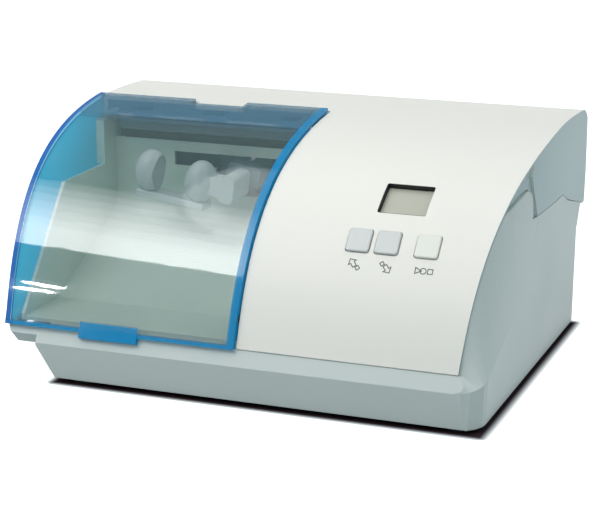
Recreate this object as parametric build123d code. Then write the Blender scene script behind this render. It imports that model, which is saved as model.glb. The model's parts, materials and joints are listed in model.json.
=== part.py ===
from build123d import *
import os
from math import atan2, cos, degrees, hypot, radians, sin, sqrt, tan

# Capsule vibration mixer. Millimetres, X to the right, Y to the back, Z up.
# The pieces are drawn from the front edge of the ledge (Y 0) and the underside of the
# casing (Z 0), and moved at the end so that the origin is under the middle of the feet.

# Housing
overall_depth = 209.5
half_width = 136.0
left_flare = 10.2
right_flare = 14.2
flare_end = 140.0
foot_height = 2.5
cover_wall = 2.5
cheek_wall = 3.0
casing_wall = 2.5
seam_gap = 0.4
rear_corner = 15.0
rear_lean = 7.0
plan_corner = 3.0
inner_corner = 0.5
lap_depth = 1.2
lap_width = 4.5
recess_depth = 1.2

# Depths of the casing's rear, the motor's shaft and the lid's hinge, from the back forwards
casing_rear = overall_depth - 9.5
motor_y = casing_rear - 40.0
hinge_y = motor_y - 36.0

# Curved front of the cover, as a four point curve in Y and Z
front_curve = [(4.1, 27.0), (20.5, 76.2), (47.1, 113.6), (hinge_y + 10.6, 122.9)]
roof_rear_height = 123.4
roof_fall = 3.0

# Lower casing
casing_right = half_width - 1.8
casing_corner = 14.0
casing_rear_corner = 4.5
ledge_edge_height = 18.8
ledge_depth = 4.5
ledge_height = 26.7
band_height = 17.2
band_taper = 27.0
band_inset = 1.0
tub_left_top = 28.8 - half_width
tub_left_foot = 38.5 - half_width
front_draft = 2.2
side_draft = 0.8
riser_height = 81.0

# Right side of the casing: crease, lobe and the seam under the cover's cheek, in Y and Z
side_crease = [(0.0, ledge_edge_height), (50.0, 33.0), (70.0, 58.0), (casing_rear, 54.5)]
side_depths = [20.0, 28.0, 38.0, 50.0, 64.0, 78.0, 90.0, 104.0, 126.0]
side_excess = 0.12
corner_steps = 5
lobe_crest = 85.8
lobe_corner = (94.2, 103.7)
lobe_radius = 10.0
notch_foot = (93.0, 84.4)
cheek_edge = (152.0, 84.4)
cheek_step = (163.0, 79.2)
cheek_rear = 68.9
cheek_nose = [(96.0, 123.0), (90.6, 108.0), (93.7, 99.6), (99.0, 88.8), (101.0, 84.4)]

# Lid
lid_wall = 2.2
lid_right = 4.6
lid_rear = hinge_y + 16.0
lid_rim = 3.0
lid_rim_depth = 6.0
lid_rear_gap = 2.9
lid_side_gap = 0.8
lid_foot_gap = 0.3
hinge_z = 116.5
rod_radius = 2.0
tray_left = 18.7 - half_width
chamber_middle = (tray_left + lid_right) / 2
knuckle_radius = 3.9
knuckle_length = 12.0
knuckle_places = [tray_left + 17.3, chamber_middle, lid_right - 16.6]
tab_left = chamber_middle - 25.6
tab_width = 33.0
tab_reach = 4.2
tab_thickness = 2.2
tongue_centre = chamber_middle - 3.2
tongue_width = 30.0
tongue_length = 7.0
tongue_gap = 1.0
magnet_radius = 2.5
magnet_thickness = 1.8
magnet_at = 0.1

# Chamber tray
tray_wall = 2.0
tray_front = 8.2
tray_floor = 30.0
ramp_start = 46.0
ramp_angle = 25.0
ramp_radius = 24.0
back_wall = hinge_y - 4.0
back_height = 105.0
side_knee = (58.0, 91.6)
side_rear = hinge_y - 18.0
post_depth = 21.0
post_width = 5.0
post_rise = 1.8
slot_left_reach = 44.3
slot_right_reach = 17.7
slot_foot = 91.0
slot_top = 99.0
notch_reach = 19.0
notch_base = 76.5
lip_depth = 6.0
sill_height = 1.4

# Running and fixing clearances
run_gap = 0.05
screw_gap = 0.3
thread_gap = 0.03
seat_gap = 0.3

# Display and keys
lcd_at = 0.6
lcd_x = half_width - 58.0
lcd_width = 25.6
lcd_height = 20.8
lens_border = 2.0
lens_thickness = 1.2
lens_drop = 3.6
glass_thickness = 3.0
board_thickness = 1.6
display_board = (48.0, 33.0)
key_at = 0.42
key_centres = {"button_up": lcd_x - 17.4, "button_down": lcd_x - 2.3, "button_start": lcd_x + 18.5}
key_width = 12.2
key_height = 13.1
key_corner = 1.6
key_proud = 1.3
key_gap = 0.35
key_flange = 1.2
key_flange_thickness = 1.0
key_flange_drop = 3.4
key_travel = 0.7
stem_radius = 1.75
switch_size = 6.0
switch_height = 3.5
switch_drop = 5.5
key_board = (68.0, 16.0)
standoff_radius = 2.8
board_pilot = 4.2
board_screw_reach = 3.6
ribbon_thickness = 0.9
ribbon_knees = (45.0, 31.0)

# Screws
small_screw = 1.0
small_head = 2.0
small_head_height = 1.4
case_screw = 1.4
case_head = 2.8
case_head_height = 2.0
post_radius = 4.5
boss_radius = 4.0
boss_join = 16.0
head_recess = 4.0
tray_posts = [(x, y) for x in (tray_left + 47.3, lid_right - 28.6) for y in (40.0, back_wall - 22.0)]
cover_posts = [(lid_right + 9.4, 24.0), (casing_right - 30.2, 16.0)]
rear_screw_x = [36.0 - half_width, 0.0, half_width - 36.0]
rear_screw_z = 76.0
rear_boss_depth = 9.0

# Feet
foot_places = [(x, y) for x in (tub_left_foot + 13.5, casing_right - 14.2)
               for y in (14.0, casing_rear - 14.0)]
foot_radius = 8.0
foot_boss = 8.0
foot_seat = 1.0
foot_head = 1.2

# Motor, with its shaft along X
motor_z = 86.5
motor_radius = 25.0
motor_face = -19.0
motor_length = 60.0
can_wall = 1.6
bell_length = 9.0
neck_radius = 9.0
neck_length = 3.0
bush_radius = 6.0
bush_length = 7.0
shaft_radius = 3.0
magnet_ring = 4.2
armature_radius = 17.5
armature_length = 36.0
commutator_radius = 8.0
commutator_length = 9.0
brush_size = 5.0
fan_radius = 22.0
fan_length = 8.0
fan_blades = 9
fan_blade_wall = 1.2
fan_gap = 3.0
motor_bolt_circle = 32.0
bracket_wall = 3.0
bracket_depth = 60.0
bracket_flange = 50.0
flange_height = 12.0
damper_height = 4.0
damper_radius = 6.0
damper_inset = (11.0, 8.0)
bracket_screw = 1.9
bracket_head = 3.6

# Shaker: oblique hub, ball and arm, swinging about the hub centre
hub_x = motor_face - 17.0
oblique = 8.0
hub_radius = 6.5
hub_length = 24.0
journal_radius = 9.0
journal_length = 12.0
ball_radius = 13.0
ball_width = 10.0
ball_gap = 0.3
ring_radius = 19.0
arm_width = 12.0
arm_height = 9.0
block_width = 20.0
block_height = 12.0
block_lift = 3.0
block_front = 47.0
block_back = 36.0
tang = (8.0, 6.0)
fork_reach = 65.0
spring_coil = 4.0
spring_wire = 0.8
spring_turns = 9

# Capsule fork, measured from the arm's axis towards the left
cup_radii = (9.0, 10.0, 12.0)
right_cup = 17.3
left_cup = 47.5
cup_face = 5.0
cup_cavity = 5.7
cup_depth = 7.0
left_bowl = 8.6
claw_split = 3.0
claw_turn = 35.0
bridge_drop = 12.6
bridge_thickness = 4.2
bridge_depth = 13.0
stem_width = 8.8
stem_height = 15.0
stem_depth = 11.0
neck_height = 10.0

# Power board, with its parts placed from its middle
power_board = (76.0, 92.0)
power_board_at = (casing_right - 52.2, casing_rear - 96.0)
power_board_height = 10.0
transformer_size = (34.0, 40.0, 30.0)
transformer_at = (-14.0, -20.0)
coil_size = (24.5, 45.0, 21.0)
coil_lift = 4.5
capacitor_radius = 8.0
capacitor_height = 22.0
capacitors_at = [(22.0, -28.0), (22.0, -9.0)]
heatsink_size = (3.0, 34.0, 26.0)
heatsink_at = (-26.0, 26.0)
regulator_size = (3.0, 11.0, 18.0)
terminal_size = (24.0, 9.0, 11.0)
terminal_at = (14.0, 38.0)
terminal_screw = 1.6

# Mains inlet, rocker switch and fuse in the rear wall
inlet_x = casing_right - 42.2
rocker_x = casing_right - 80.2
fuse_x = casing_right - 106.2
panel_z = 38.0
inlet_body = (27.0, 20.0)
inlet_depth = 22.0
inlet_plate = (50.0, 23.0)
inlet_plate_thickness = 2.6
inlet_socket = (24.5, 16.5)
inlet_socket_depth = 15.0
inlet_screws = 40.0
plate_corner = 4.0
blade_size = (2.0, 11.0, 4.0)
blade_places = [(-7.0, 1.0), (0.0, 3.6), (7.0, 1.0)]
rocker_cut = (13.0, 19.4)
rocker_frame = (15.0, 21.6)
rocker_wall = 1.5
rocker_bezel = 1.6
rocker_depth = 14.0
rocker_tilt = 10.0
rocker_gap = 0.5
rocker_face = 2.6
rocker_dish = 0.9
rocker_root = 3.0
pivot_radius = 1.0
pivot_depth = 1.5
fuse_radius = 6.4
fuse_wall = 2.0
fuse_cap_radius = 7.2
fuse_depth = 26.0
fuse_cap_reach = 5.0
fuse_slot = (8.0, 1.0, 1.2)
lead_radius = 1.1
lead_bend = 4.0
lead_spread = 5.0
vent_count = 14
vent_width = 2.6
vent_height = 24.0
vent_pitch = 7.0
vent_z = 95.0
sole_vents = 7
sole_vent_length = 34.0

margin = 10.0

to_origin = Pos(0, -overall_depth / 2, foot_height)
pieces = {}


def keep(name, shape):
    """Name a finished piece and move it to the part's own origin."""
    pieces[name] = to_origin * shape


def parallel(points, distance):
    """An open run of points moved sideways, to its right for a positive distance."""
    lines = []
    for (ay, az), (by, bz) in zip(points, points[1:]):
        run = hypot(by - ay, bz - az)
        ny, nz = (bz - az) / run, -(by - ay) / run
        lines.append(((ay + ny * distance, az + nz * distance), (by - ay, bz - az)))
    moved = [lines[0][0]]
    for ((ay, az), (dy, dz)), ((by, bz), (ey, ez)) in zip(lines, lines[1:]):
        turn = dy * ez - dz * ey
        share = ((by - ay) * ez - (bz - az) * ey) / turn
        moved.append((ay + dy * share, az + dz * share))
    (ay, az), (dy, dz) = lines[-1]
    moved.append((ay + dy, az + dz))
    return moved


def curve_point(at):
    """Point and tangent angle on the curved front, from 0 at its foot to 1 at the roof."""
    p = front_curve
    k = 1 - at
    weights = (k**3, 3 * k * k * at, 3 * k * at * at, at**3)
    slopes = (-3 * k * k, 3 * k * k - 6 * k * at, 6 * k * at - 3 * at * at, 3 * at * at)
    y = sum(w * q[0] for w, q in zip(weights, p))
    z = sum(w * q[1] for w, q in zip(weights, p))
    dy = sum(w * q[0] for w, q in zip(slopes, p))
    dz = sum(w * q[1] for w, q in zip(slopes, p))
    return y, z, degrees(atan2(dz, dy))


def along_x(face, low, high):
    """A face drawn with Y and Z as its two directions, drawn out along X."""
    return Pos(low, 0, 0) * extrude(Plane.YZ * face, amount=high - low)


def side_prism(points, low, high):
    """A polygon in Y and Z drawn out along X."""
    return along_x(make_face(Polyline(*points, close=True)), low, high)


def rod_x(radius, low, high, y, z):
    """A round bar along X."""
    return Pos(low, y, z) * extrude(Plane.YZ * Circle(radius), amount=high - low)


def rod_y(radius, low, high, x, z):
    """A round bar along Y."""
    return Pos(x, high, z) * extrude(Plane.XZ * Circle(radius), amount=high - low)


def rod_z(radius, low, high, x, y):
    """A round bar along Z."""
    return Pos(x, y, low) * extrude(Circle(radius), amount=high - low)


def block(low, high):
    """A box between two corners."""
    size = [h - l for l, h in zip(low, high)]
    middle = [(l + h) / 2 for l, h in zip(low, high)]
    return Pos(*middle) * Box(*size)


def cheek_x(y, flare):
    """Half width of the cover at a depth, where its sides spread towards the back."""
    spread = max(flare_end - y, 0.0) / (flare_end - front_curve[0][0])
    return half_width - flare * spread * spread


# Envelope of the cover and the lid


def envelope(depth, inset):
    """The housing moved inwards by a depth, and from its sides by an inset."""
    nose = parallel(front_curve, depth)
    centre = (overall_depth - rear_corner, roof_rear_height - rear_corner)
    roof_end = around(centre, rear_corner - depth, 90 - roof_fall)
    rear_top = around(centre, rear_corner - depth, -rear_lean)
    reach = (roof_end[0] - nose[3][0]) / 3
    rise = (nose[3][1] - nose[2][1]) / (nose[3][0] - nose[2][0])
    curve = Bezier(*nose)
    crest = Bezier(nose[3], (nose[3][0] + reach, nose[3][1] + reach * rise),
                   (roof_end[0] - reach, roof_end[1] + reach * tan(radians(roof_fall))), roof_end)
    middle = around(centre, rear_corner - depth, (90 - roof_fall - rear_lean) / 2)
    turn = ThreePointArc(roof_end, middle, rear_top)
    lean = (nose[1][0] - nose[0][0]) / (nose[1][1] - nose[0][1])
    toe = (nose[0][0] - lean * (nose[0][1] + margin), -margin)
    rear_foot = (rear_top[0] - (rear_top[1] + margin) * tan(radians(rear_lean)), -margin)
    closing = Polyline(rear_top, rear_foot, toe, nose[0])
    side = make_face(curve.edges() + crest.edges() + turn.edges() + closing.edges())
    return along_x(side, -half_width - margin, half_width + margin) & plan_prism(inset)


def around(centre, radius, angle):
    """A point on a circle in side view, at an angle up from the Y direction."""
    return centre[0] + radius * cos(radians(angle)), centre[1] + radius * sin(radians(angle))


def rear_face(z):
    """Depth of the cover's leaning rear wall at a height."""
    centre = (overall_depth - rear_corner, roof_rear_height - rear_corner)
    y, top = around(centre, rear_corner, -rear_lean)
    return y - (top - z) * tan(radians(rear_lean))


def plan_prism(inset):
    """The outline of the cover seen from above, as a tall block."""
    front = -2 * margin
    stations = (front_curve[0][0], (front_curve[0][0] + flare_end) / 2, flare_end)
    right = [(cheek_x(y, right_flare) - inset, y) for y in stations]
    left = [(inset - cheek_x(y, left_flare), y) for y in stations]
    rear = overall_depth - inset
    arcs = ThreePointArc(*right).edges() + ThreePointArc(*left).edges()
    straight = Polyline(right[2], (right[2][0], rear), (left[2][0], rear), left[2]).edges()
    straight += Polyline(left[0], (left[0][0], front), (right[0][0], front), right[0]).edges()
    prism = Pos(0, 0, -2 * margin) * extrude(make_face(arcs + straight), amount=overall_depth)
    upright = [e for e in prism.edges().filter_by(Axis.Z) if e.center().Y > rear - 1]
    return fillet(upright, max(plan_corner - inset, inner_corner))


# Lower casing


def height_on(points, y):
    """Height of a four point curve at a depth."""
    curve = Bezier(*points)
    low, high = 0.0, 1.0
    while high - low > 1e-6:
        middle = (low + high) / 2
        if (curve @ middle).X < y:
            low = middle
        else:
            high = middle
    return (curve @ low).Y


def seam_height(y):
    """Height of the seam between the casing and the cover's cheek, behind the notch."""
    line = [notch_foot, cheek_edge, cheek_step, (casing_rear, cheek_rear)]
    runs = list(zip(line, line[1:]))
    (ay, az), (by, bz) = next((run for run in runs if y <= run[1][0]), runs[-1])
    return az + (bz - az) * (y - ay) / (by - ay)


def side_top(y):
    """Where the casing's right side meets the edge of the cover, in X and Z."""
    at = max(y, ledge_depth)
    if at > lobe_corner[0]:
        return cheek_x(at, right_flare), seam_height(at)
    climb = height_on(parallel(front_curve, lap_depth + seam_gap), at)
    return cheek_x(at, right_flare), min(max(climb, ledge_height), lobe_corner[1])


def corner_cuts(y, inset):
    """How much the casing's front and rear upright corners take off its right side at a depth."""
    front, rear = casing_corner - inset, casing_rear_corner - inset
    ahead = min(max(front + inset - y, 0), front)
    behind = min(max(y - casing_rear + inset + rear, 0), rear)
    return front - sqrt(front**2 - ahead**2), rear - sqrt(rear**2 - behind**2)


def side_stations(inset):
    """Depths at which the right side is drawn, close together round its upright corners."""
    turns = [1 - cos(radians(90 * k / corner_steps)) for k in range(corner_steps + 1)]
    front = [inset + (casing_corner - inset) * t for t in turns]
    rear = [casing_rear - inset - (casing_rear_corner - inset) * t for t in reversed(turns)]
    return [-1] + front + side_depths + [cheek_edge[0], cheek_step[0]] + rear + [casing_rear + 1]


def side_block(inset):
    """Everything left of the casing's right side, which leans in at the front and out at the rear."""
    left = -half_width - margin
    sections = []
    for y in side_stations(inset):
        front_cut, rear_cut = corner_cuts(y, inset)
        top_x, top_z = side_top(y)
        top_x -= inset + rear_cut
        crease_x = casing_right - inset - front_cut - rear_cut
        crease_z = height_on(side_crease, y)
        over_x = top_x + (top_x - crease_x) * side_excess
        over_z = top_z + (top_z - crease_z) * side_excess - inset / 2
        points = [(left, 0), (crease_x - side_draft, 0), (crease_x, crease_z - inset / 2),
                  (over_x, over_z), (left, over_z)]
        sections.append(Plane.XZ.offset(-y) * make_face(Polyline(*points, close=True)))
    return loft(sections, ruled=True)


def under_curve(depth):
    """Everything under the curved front moved inwards by a depth, in the right half."""
    nose = parallel(front_curve, depth)
    closing = Polyline(nose[3], (overall_depth, nose[3][1]), (overall_depth, -margin),
                       (nose[0][0], -margin), nose[0])
    return along_x(make_face(Bezier(*nose).edges() + closing.edges()), 0, half_width + margin)


def side_region(depth, gap):
    """The part of the right side that the casing fills, with its lobe, grown by a gap."""
    rear = casing_rear + gap
    outline = [(0, -margin), (0, lobe_crest + gap), (lobe_corner[0] + gap, lobe_corner[1] + gap),
               (notch_foot[0] + gap, notch_foot[1] + gap), (cheek_edge[0], cheek_edge[1] + gap),
               (cheek_step[0], cheek_step[1] + gap), (rear, cheek_rear + gap), (rear, -margin)]
    region = side_prism(outline, 0, half_width + margin) & under_curve(depth)
    tip = min(region.edges().filter_by(Axis.X),
              key=lambda e: hypot(e.center().Y - lobe_corner[0], e.center().Z - lobe_corner[1]))
    return fillet(tip, lobe_radius)


def tub_block(inset):
    """The tub below the ledge, with its front, left and rear moved inwards by an inset."""
    slant = hypot(tub_left_foot - tub_left_top, band_height) / band_height
    left = inset * slant
    front = [(tub_left_foot + left, inset), (tub_left_top + left, band_height),
             (tub_left_top + left, ledge_height), (half_width, ledge_height), (half_width, inset)]
    width = Pos(0, casing_rear - inset, 0) * extrude(
        Plane.XZ * make_face(Polyline(*front, close=True)), amount=casing_rear - inset)
    return width & ledge_side(inset)


def ledge_side(inset):
    """Side view of the tub, with the ledge sloping up from its front edge."""
    side = [(front_draft + inset, inset), (inset, ledge_edge_height - inset / 2),
            (ledge_depth + inset, ledge_height), (casing_rear - inset, ledge_height),
            (casing_rear - inset, inset)]
    return side_prism(side, -half_width, half_width)


def band_block(inset):
    """The band under the lid and the cover, which stands out past the tub on the left."""
    outline = plan_prism(band_inset + inset) & block(
        (-half_width, inset, ledge_height - seam_gap), (casing_right, casing_rear - inset, ledge_height))
    top = outline.faces().sort_by(Axis.Z)[-1]
    return extrude(top, amount=band_height - ledge_height, taper=band_taper) & ledge_side(inset)


def casing_risers():
    """Walls that stand inside the cover at the rear and on the left."""
    rear = block((-half_width, casing_rear - casing_wall, band_height),
                 (casing_right - casing_rear_corner + seam_gap, casing_rear, riser_height))
    left = block((-half_width, lid_rear + lid_rear_gap + seam_gap, band_height),
                 (casing_wall - riser_left(), casing_rear, riser_height))
    return (rear + left) & plan_prism(cheek_wall + seam_gap)


def riser_left():
    """How far left the casing's left riser stands."""
    return cheek_x(overall_depth, left_flare) - cheek_wall - seam_gap


def casing_shell():
    """The casing's skin: tub, band, right side, left and rear risers, all one wall thick."""
    inside = side_block(casing_wall)
    outside = side_block(0)
    outer = (tub_block(0) + band_block(0)) & outside
    outer += (side_region(lap_depth + seam_gap, 0) & outside) - inside
    outer += casing_risers()
    rim = ledge_depth + casing_wall
    hollow = block((-half_width, rim, casing_wall), (half_width, casing_rear - casing_wall, overall_depth))
    inner = (tub_block(casing_wall) + (Pos(0, 0, casing_wall) * band_block(casing_wall) & hollow)) & inside
    left_well = block((casing_wall - riser_left(), rim, band_height + casing_wall),
                      (tub_left_top + casing_wall, casing_rear - casing_wall, riser_height))
    return outer - inner - (left_well & plan_prism(band_inset + casing_wall))


def casing_fittings():
    """Posts, bosses and cut-outs of the casing: what is added, and what is taken away."""
    add, cut = [], []
    under_cover = envelope(cover_wall + seat_gap, cheek_wall)
    for x, y in tray_posts + cover_posts:
        add.append(rod_z(post_radius, 0, boss_join, x, y))
        cut.append(rod_z(case_screw + screw_gap, -margin, boss_join, x, y))
        cut.append(rod_z(case_head + screw_gap, -margin, head_recess, x, y))
    for x, y in foot_places:
        add.append(rod_z(boss_radius, 0, foot_boss, x, y))
        cut.append(rod_z(case_screw + thread_gap, -margin, foot_boss - 1, x, y))
    for x, y in bracket_places():
        add.append(rod_z(damper_radius, 0, flange_height - damper_height, x, y))
        cut.append(rod_z(bracket_screw + thread_gap, casing_wall, flange_height, x, y))
    for x, y in board_places():
        add.append(rod_z(standoff_radius, 0, power_board_height, x, y))
        cut.append(rod_z(small_screw + thread_gap, casing_wall, power_board_height, x, y))
    for x in rear_screw_x:
        start = casing_rear - rear_boss_depth
        add.append(rod_y(boss_radius, start, overall_depth, x, rear_screw_z) & under_cover)
        cut.append(rod_y(case_screw + thread_gap, start + 1, overall_depth, x, rear_screw_z))
    cut += supply_cuts() + sole_slots()
    return add, cut


def bracket_places():
    """Where the motor bracket stands on its four dampers."""
    inset_x, inset_y = damper_inset
    xs = (motor_face + inset_x, motor_face + bracket_flange - inset_x + 3)
    ys = (motor_y - bracket_depth / 2 + inset_y, motor_y + bracket_depth / 2 - inset_y)
    return [(x, y) for x in xs for y in ys]


def board_places():
    """The four screws of the power board."""
    w, d = power_board
    x, y = power_board_at
    inset = standoff_radius + 1
    return [(x + sx * (w / 2 - inset), y + sy * (d / 2 - inset)) for sx in (-1, 1) for sy in (-1, 1)]


def supply_cuts():
    """Holes in the casing's rear wall for the inlet, the rocker and the fuse."""
    deep = (casing_rear - 2 * casing_wall, casing_rear + margin)
    cuts = []
    for x, (w, h) in ((inlet_x, inlet_body), (rocker_x, rocker_cut)):
        cuts.append(block((x - w / 2 - seat_gap / 2, deep[0], panel_z - h / 2 - seat_gap / 2),
                          (x + w / 2 + seat_gap / 2, deep[1], panel_z + h / 2 + seat_gap / 2)))
    cuts.append(rod_y(fuse_radius + seat_gap / 2, deep[0], deep[1], fuse_x, panel_z))
    for side in (-1, 1):
        cuts.append(rod_y(case_screw + thread_gap, deep[0], deep[1],
                          inlet_x + side * inlet_screws / 2, panel_z))
    return cuts


def sole_slots():
    """Air slots through the casing's floor in front of the motor."""
    middle = motor_y - bracket_depth
    slots = []
    for k in range(sole_vents):
        x = motor_face + k * vent_pitch
        slots.append(block((x - vent_width / 2, middle - sole_vent_length / 2, -margin),
                           (x + vent_width / 2, middle + sole_vent_length / 2, casing_wall + margin)))
    return slots


def lower_casing():
    add, cut = casing_fittings()
    body = casing_shell()
    for piece in add:
        body += piece
    for piece in cut:
        body -= piece
    return body


# Upper cover


def panel_plane(at, x):
    """A plane lying on the curved front: its own Z points out of the cover."""
    y, z, angle = curve_point(at)
    tilt = radians(angle)
    return Plane(origin=(x, y, z), x_dir=(1, 0, 0), z_dir=(0, -sin(tilt), cos(tilt)))


def on_panel(plane, size, low, high, u=0.0, v=0.0, corner=0.0):
    """A block on the panel, between two heights out of it."""
    outline = RectangleRounded(*size, corner) if corner else Rectangle(*size)
    return plane * Pos(u, v, low) * extrude(outline, amount=high - low)


def pin_on_panel(plane, radius, low, high, u, v):
    """A round pin on the panel, between two heights out of it."""
    return plane * Pos(u, v, low) * extrude(Circle(radius), amount=high - low)


def corners_of(size, inset):
    """The four screw places of a board, in its own plane."""
    w, h = size
    return [(sx * (w / 2 - inset), sy * (h / 2 - inset)) for sx in (-1, 1) for sy in (-1, 1)]


def lcd_plane():
    return panel_plane(lcd_at, lcd_x)


def key_plane():
    middle = sum(key_centres.values()) / len(key_centres)
    return panel_plane(key_at, middle)


def key_shift(name):
    """Where a key sits along the key board."""
    middle = sum(key_centres.values()) / len(key_centres)
    return key_centres[name] - middle


def display_back():
    """Height of the display board's front, below the panel."""
    return -lens_drop - lens_thickness - glass_thickness


def key_board_front():
    """Height of the key board's front, below the panel."""
    return -switch_drop - switch_height


def board_standoffs(plane, size, front):
    """Posts from the cover's inside down to a board, with their screw holes."""
    posts = []
    for u, v in corners_of(size, standoff_radius):
        whole = pin_on_panel(plane, standoff_radius, front, 0, u, v)
        posts.append(whole - pin_on_panel(plane, small_screw + thread_gap, front, front + board_pilot, u, v))
    return posts


def cover_openings():
    """Everything cut out of the cover's skin."""
    cuts = [on_panel(lcd_plane(), (lcd_width, lcd_height), -margin, margin, corner=1.0)]
    for name in key_centres:
        size = (key_width + 2 * key_gap, key_height + 2 * key_gap)
        cuts.append(on_panel(key_plane(), size, -margin / 2, margin, key_shift(name),
                             corner=key_corner + key_gap))
    first = motor_face + motor_length - vent_count * vent_pitch / 2
    for k in range(vent_count):
        x = first + k * vent_pitch
        cuts.append(block((x - vent_width / 2, overall_depth - margin, vent_z - vent_height / 2),
                          (x + vent_width / 2, overall_depth + margin, vent_z + vent_height / 2)))
    wall, far = rear_face(rear_screw_z), overall_depth + margin
    for x in rear_screw_x:
        cuts.append(rod_y(case_screw + screw_gap, wall - margin / 2, far, x, rear_screw_z))
        cuts.append(rod_y(case_head + screw_gap, wall - small_head_height, far, x, rear_screw_z))
    return cuts


def chamber_window():
    """The opening that the lid closes, without the tongue that dips into the lid."""
    edge = lid_rear + lid_rear_gap
    window = block((-overall_depth, -margin, -margin), (lid_right + lid_side_gap, edge, overall_depth))
    half = tongue_width / 2
    tongue = block((tongue_centre - half, edge - tongue_length, 0),
                   (tongue_centre + half, edge, overall_depth))
    return window - tongue


def cheek_recess():
    """A shallow step in the cover's cheek, round the casing's lobe and in front of the cheek's nose."""
    near = front_curve[1][0]
    outline = [(near, cheek_nose[-1][1]), (near, cheek_nose[0][1])] + cheek_nose
    return (side_prism(outline, 0, half_width + margin) & under_curve(lap_depth)) - plan_prism(recess_depth)


def rear_lip():
    """A lip inside the cover's lower rear edge, which closes the step down to the casing."""
    lip = block((tub_left_top, casing_rear + seat_gap, cheek_rear),
                (casing_right - margin, overall_depth, cheek_rear + cover_wall))
    return lip & envelope(cover_wall / 2, cheek_wall / 2)


def upper_cover():
    hollow = envelope(cover_wall, cheek_wall)
    body = envelope(0, 0) - hollow
    edge = ledge_height + lid_foot_gap
    body -= block((-overall_depth, -3 * margin, -3 * margin), (overall_depth, overall_depth + margin, edge))
    body -= chamber_window()
    body -= side_region(lap_depth, seam_gap) - plan_prism(lap_width)
    body -= cheek_recess()
    body -= block((cheek_wall - half_width, casing_rear - 2 * casing_wall, -margin),
                  (overall_depth, overall_depth + margin, cheek_rear))
    body += rear_lip()
    for x, y in cover_posts:
        body += (rod_z(boss_radius, boss_join, overall_depth, x, y) & hollow) - rod_z(
            case_screw + thread_gap, boss_join, boss_join + margin, x, y)
    for post in board_standoffs(lcd_plane(), display_board, display_back()):
        body += post & hollow
    for post in board_standoffs(key_plane(), key_board, key_board_front()):
        body += post & hollow
    for cut in cover_openings():
        body -= cut
    return body


# Lid


def lid_skirt():
    """What the lid's lower rear corner leaves out, so that it swings clear of the casing."""
    radius = hinge_z - ledge_height - lid_foot_gap
    reach = lid_rear - hinge_y
    rise = radius - sqrt(radius**2 - reach**2) + lid_foot_gap
    foot = ledge_height + lid_foot_gap
    return side_prism([(hinge_y, -margin), (hinge_y, foot), (lid_rear, foot + rise), (lid_rear, -margin)],
                      -overall_depth, 0)


def lid_tab():
    """The finger tab that leans out over the ledge."""
    slope = hypot(ledge_depth, ledge_height - ledge_edge_height)
    dy, dz = ledge_depth / slope, (ledge_height - ledge_edge_height) / slope
    gap = seat_gap + 0.2
    near = (ledge_depth - dz * gap, ledge_height + dy * gap)
    far = (near[0] - dy * tab_reach, near[1] - dz * tab_reach)
    thick = (-dz * tab_thickness, dy * tab_thickness)
    root = (front_curve[0][0], ledge_height + lid_foot_gap + tab_thickness)
    outline = [(near[0], near[1] + 0.2), far, (far[0] + thick[0], far[1] + thick[1]),
               (near[0] + thick[0], near[1] + thick[1] + tab_thickness / 2), root]
    return side_prism(outline, tab_left, tab_left + tab_width)


def knuckles():
    """Eyes under the lid that turn on the rod."""
    eyes = []
    inside = envelope(-lid_wall / 2, 0)
    for x in knuckle_places:
        low, high = x - knuckle_length / 2, x + knuckle_length / 2
        eye = rod_x(knuckle_radius, low, high, hinge_y, hinge_z)
        eye += block((low, hinge_y - knuckle_radius, hinge_z),
                     (high, hinge_y + knuckle_radius, overall_depth)) & inside
        eyes.append(eye)
    return eyes


def magnet_seat():
    """Middle of the magnet in the lid's rim."""
    y, z, _ = curve_point(magnet_at)
    return y + lid_rim_depth / 3, z - lid_rim_depth / 6


def lid():
    outer = envelope(-lid_wall, 0)
    body = outer - envelope(0, lid_wall)
    rim = outer - envelope(lid_rim_depth, 0)
    low, high = lid_right - lid_rim, lid_right
    rim_end = hinge_y - 3 * knuckle_radius
    body += rim & block((low, -margin, tray_floor + 2 * seat_gap), (high, rim_end, overall_depth))
    foot = ledge_height + lid_foot_gap
    body &= block((-overall_depth, -margin, foot), (lid_right, lid_rear, overall_depth))
    body -= lid_skirt()
    half = tongue_width / 2 + tongue_gap
    front = lid_rear - tongue_length - tongue_gap
    body -= block((tongue_centre - half, front, hinge_z),
                  (tongue_centre + half, lid_rear + margin, overall_depth))
    body += lid_tab()
    for eye in knuckles():
        body += eye
    body -= rod_x(rod_radius + run_gap, -half_width, lid_right, hinge_y, hinge_z) & block(
        (knuckle_places[0] - knuckle_length, 0, 0), (lid_right, overall_depth, overall_depth))
    y, z = magnet_seat()
    return body - rod_x(magnet_radius, lid_right - magnet_thickness, lid_right + 1, y, z)


# Chamber


def tray_line(depth):
    """Floor, ramp and back wall of the chamber in side view, moved outwards by a depth."""
    ramp_end = tray_floor + (back_wall - ramp_start) * tan(radians(ramp_angle))
    points = [(tray_front, tray_floor), (ramp_start, tray_floor),
              (back_wall, ramp_end), (back_wall, back_height)]
    return FilletPolyline(*parallel(points, depth), radius=[2 * tray_wall + depth, ramp_radius + depth])


def tray_right():
    """The chamber's right side, just under the edge of the cover."""
    return lid_right + lid_side_gap - 0.2


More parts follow.
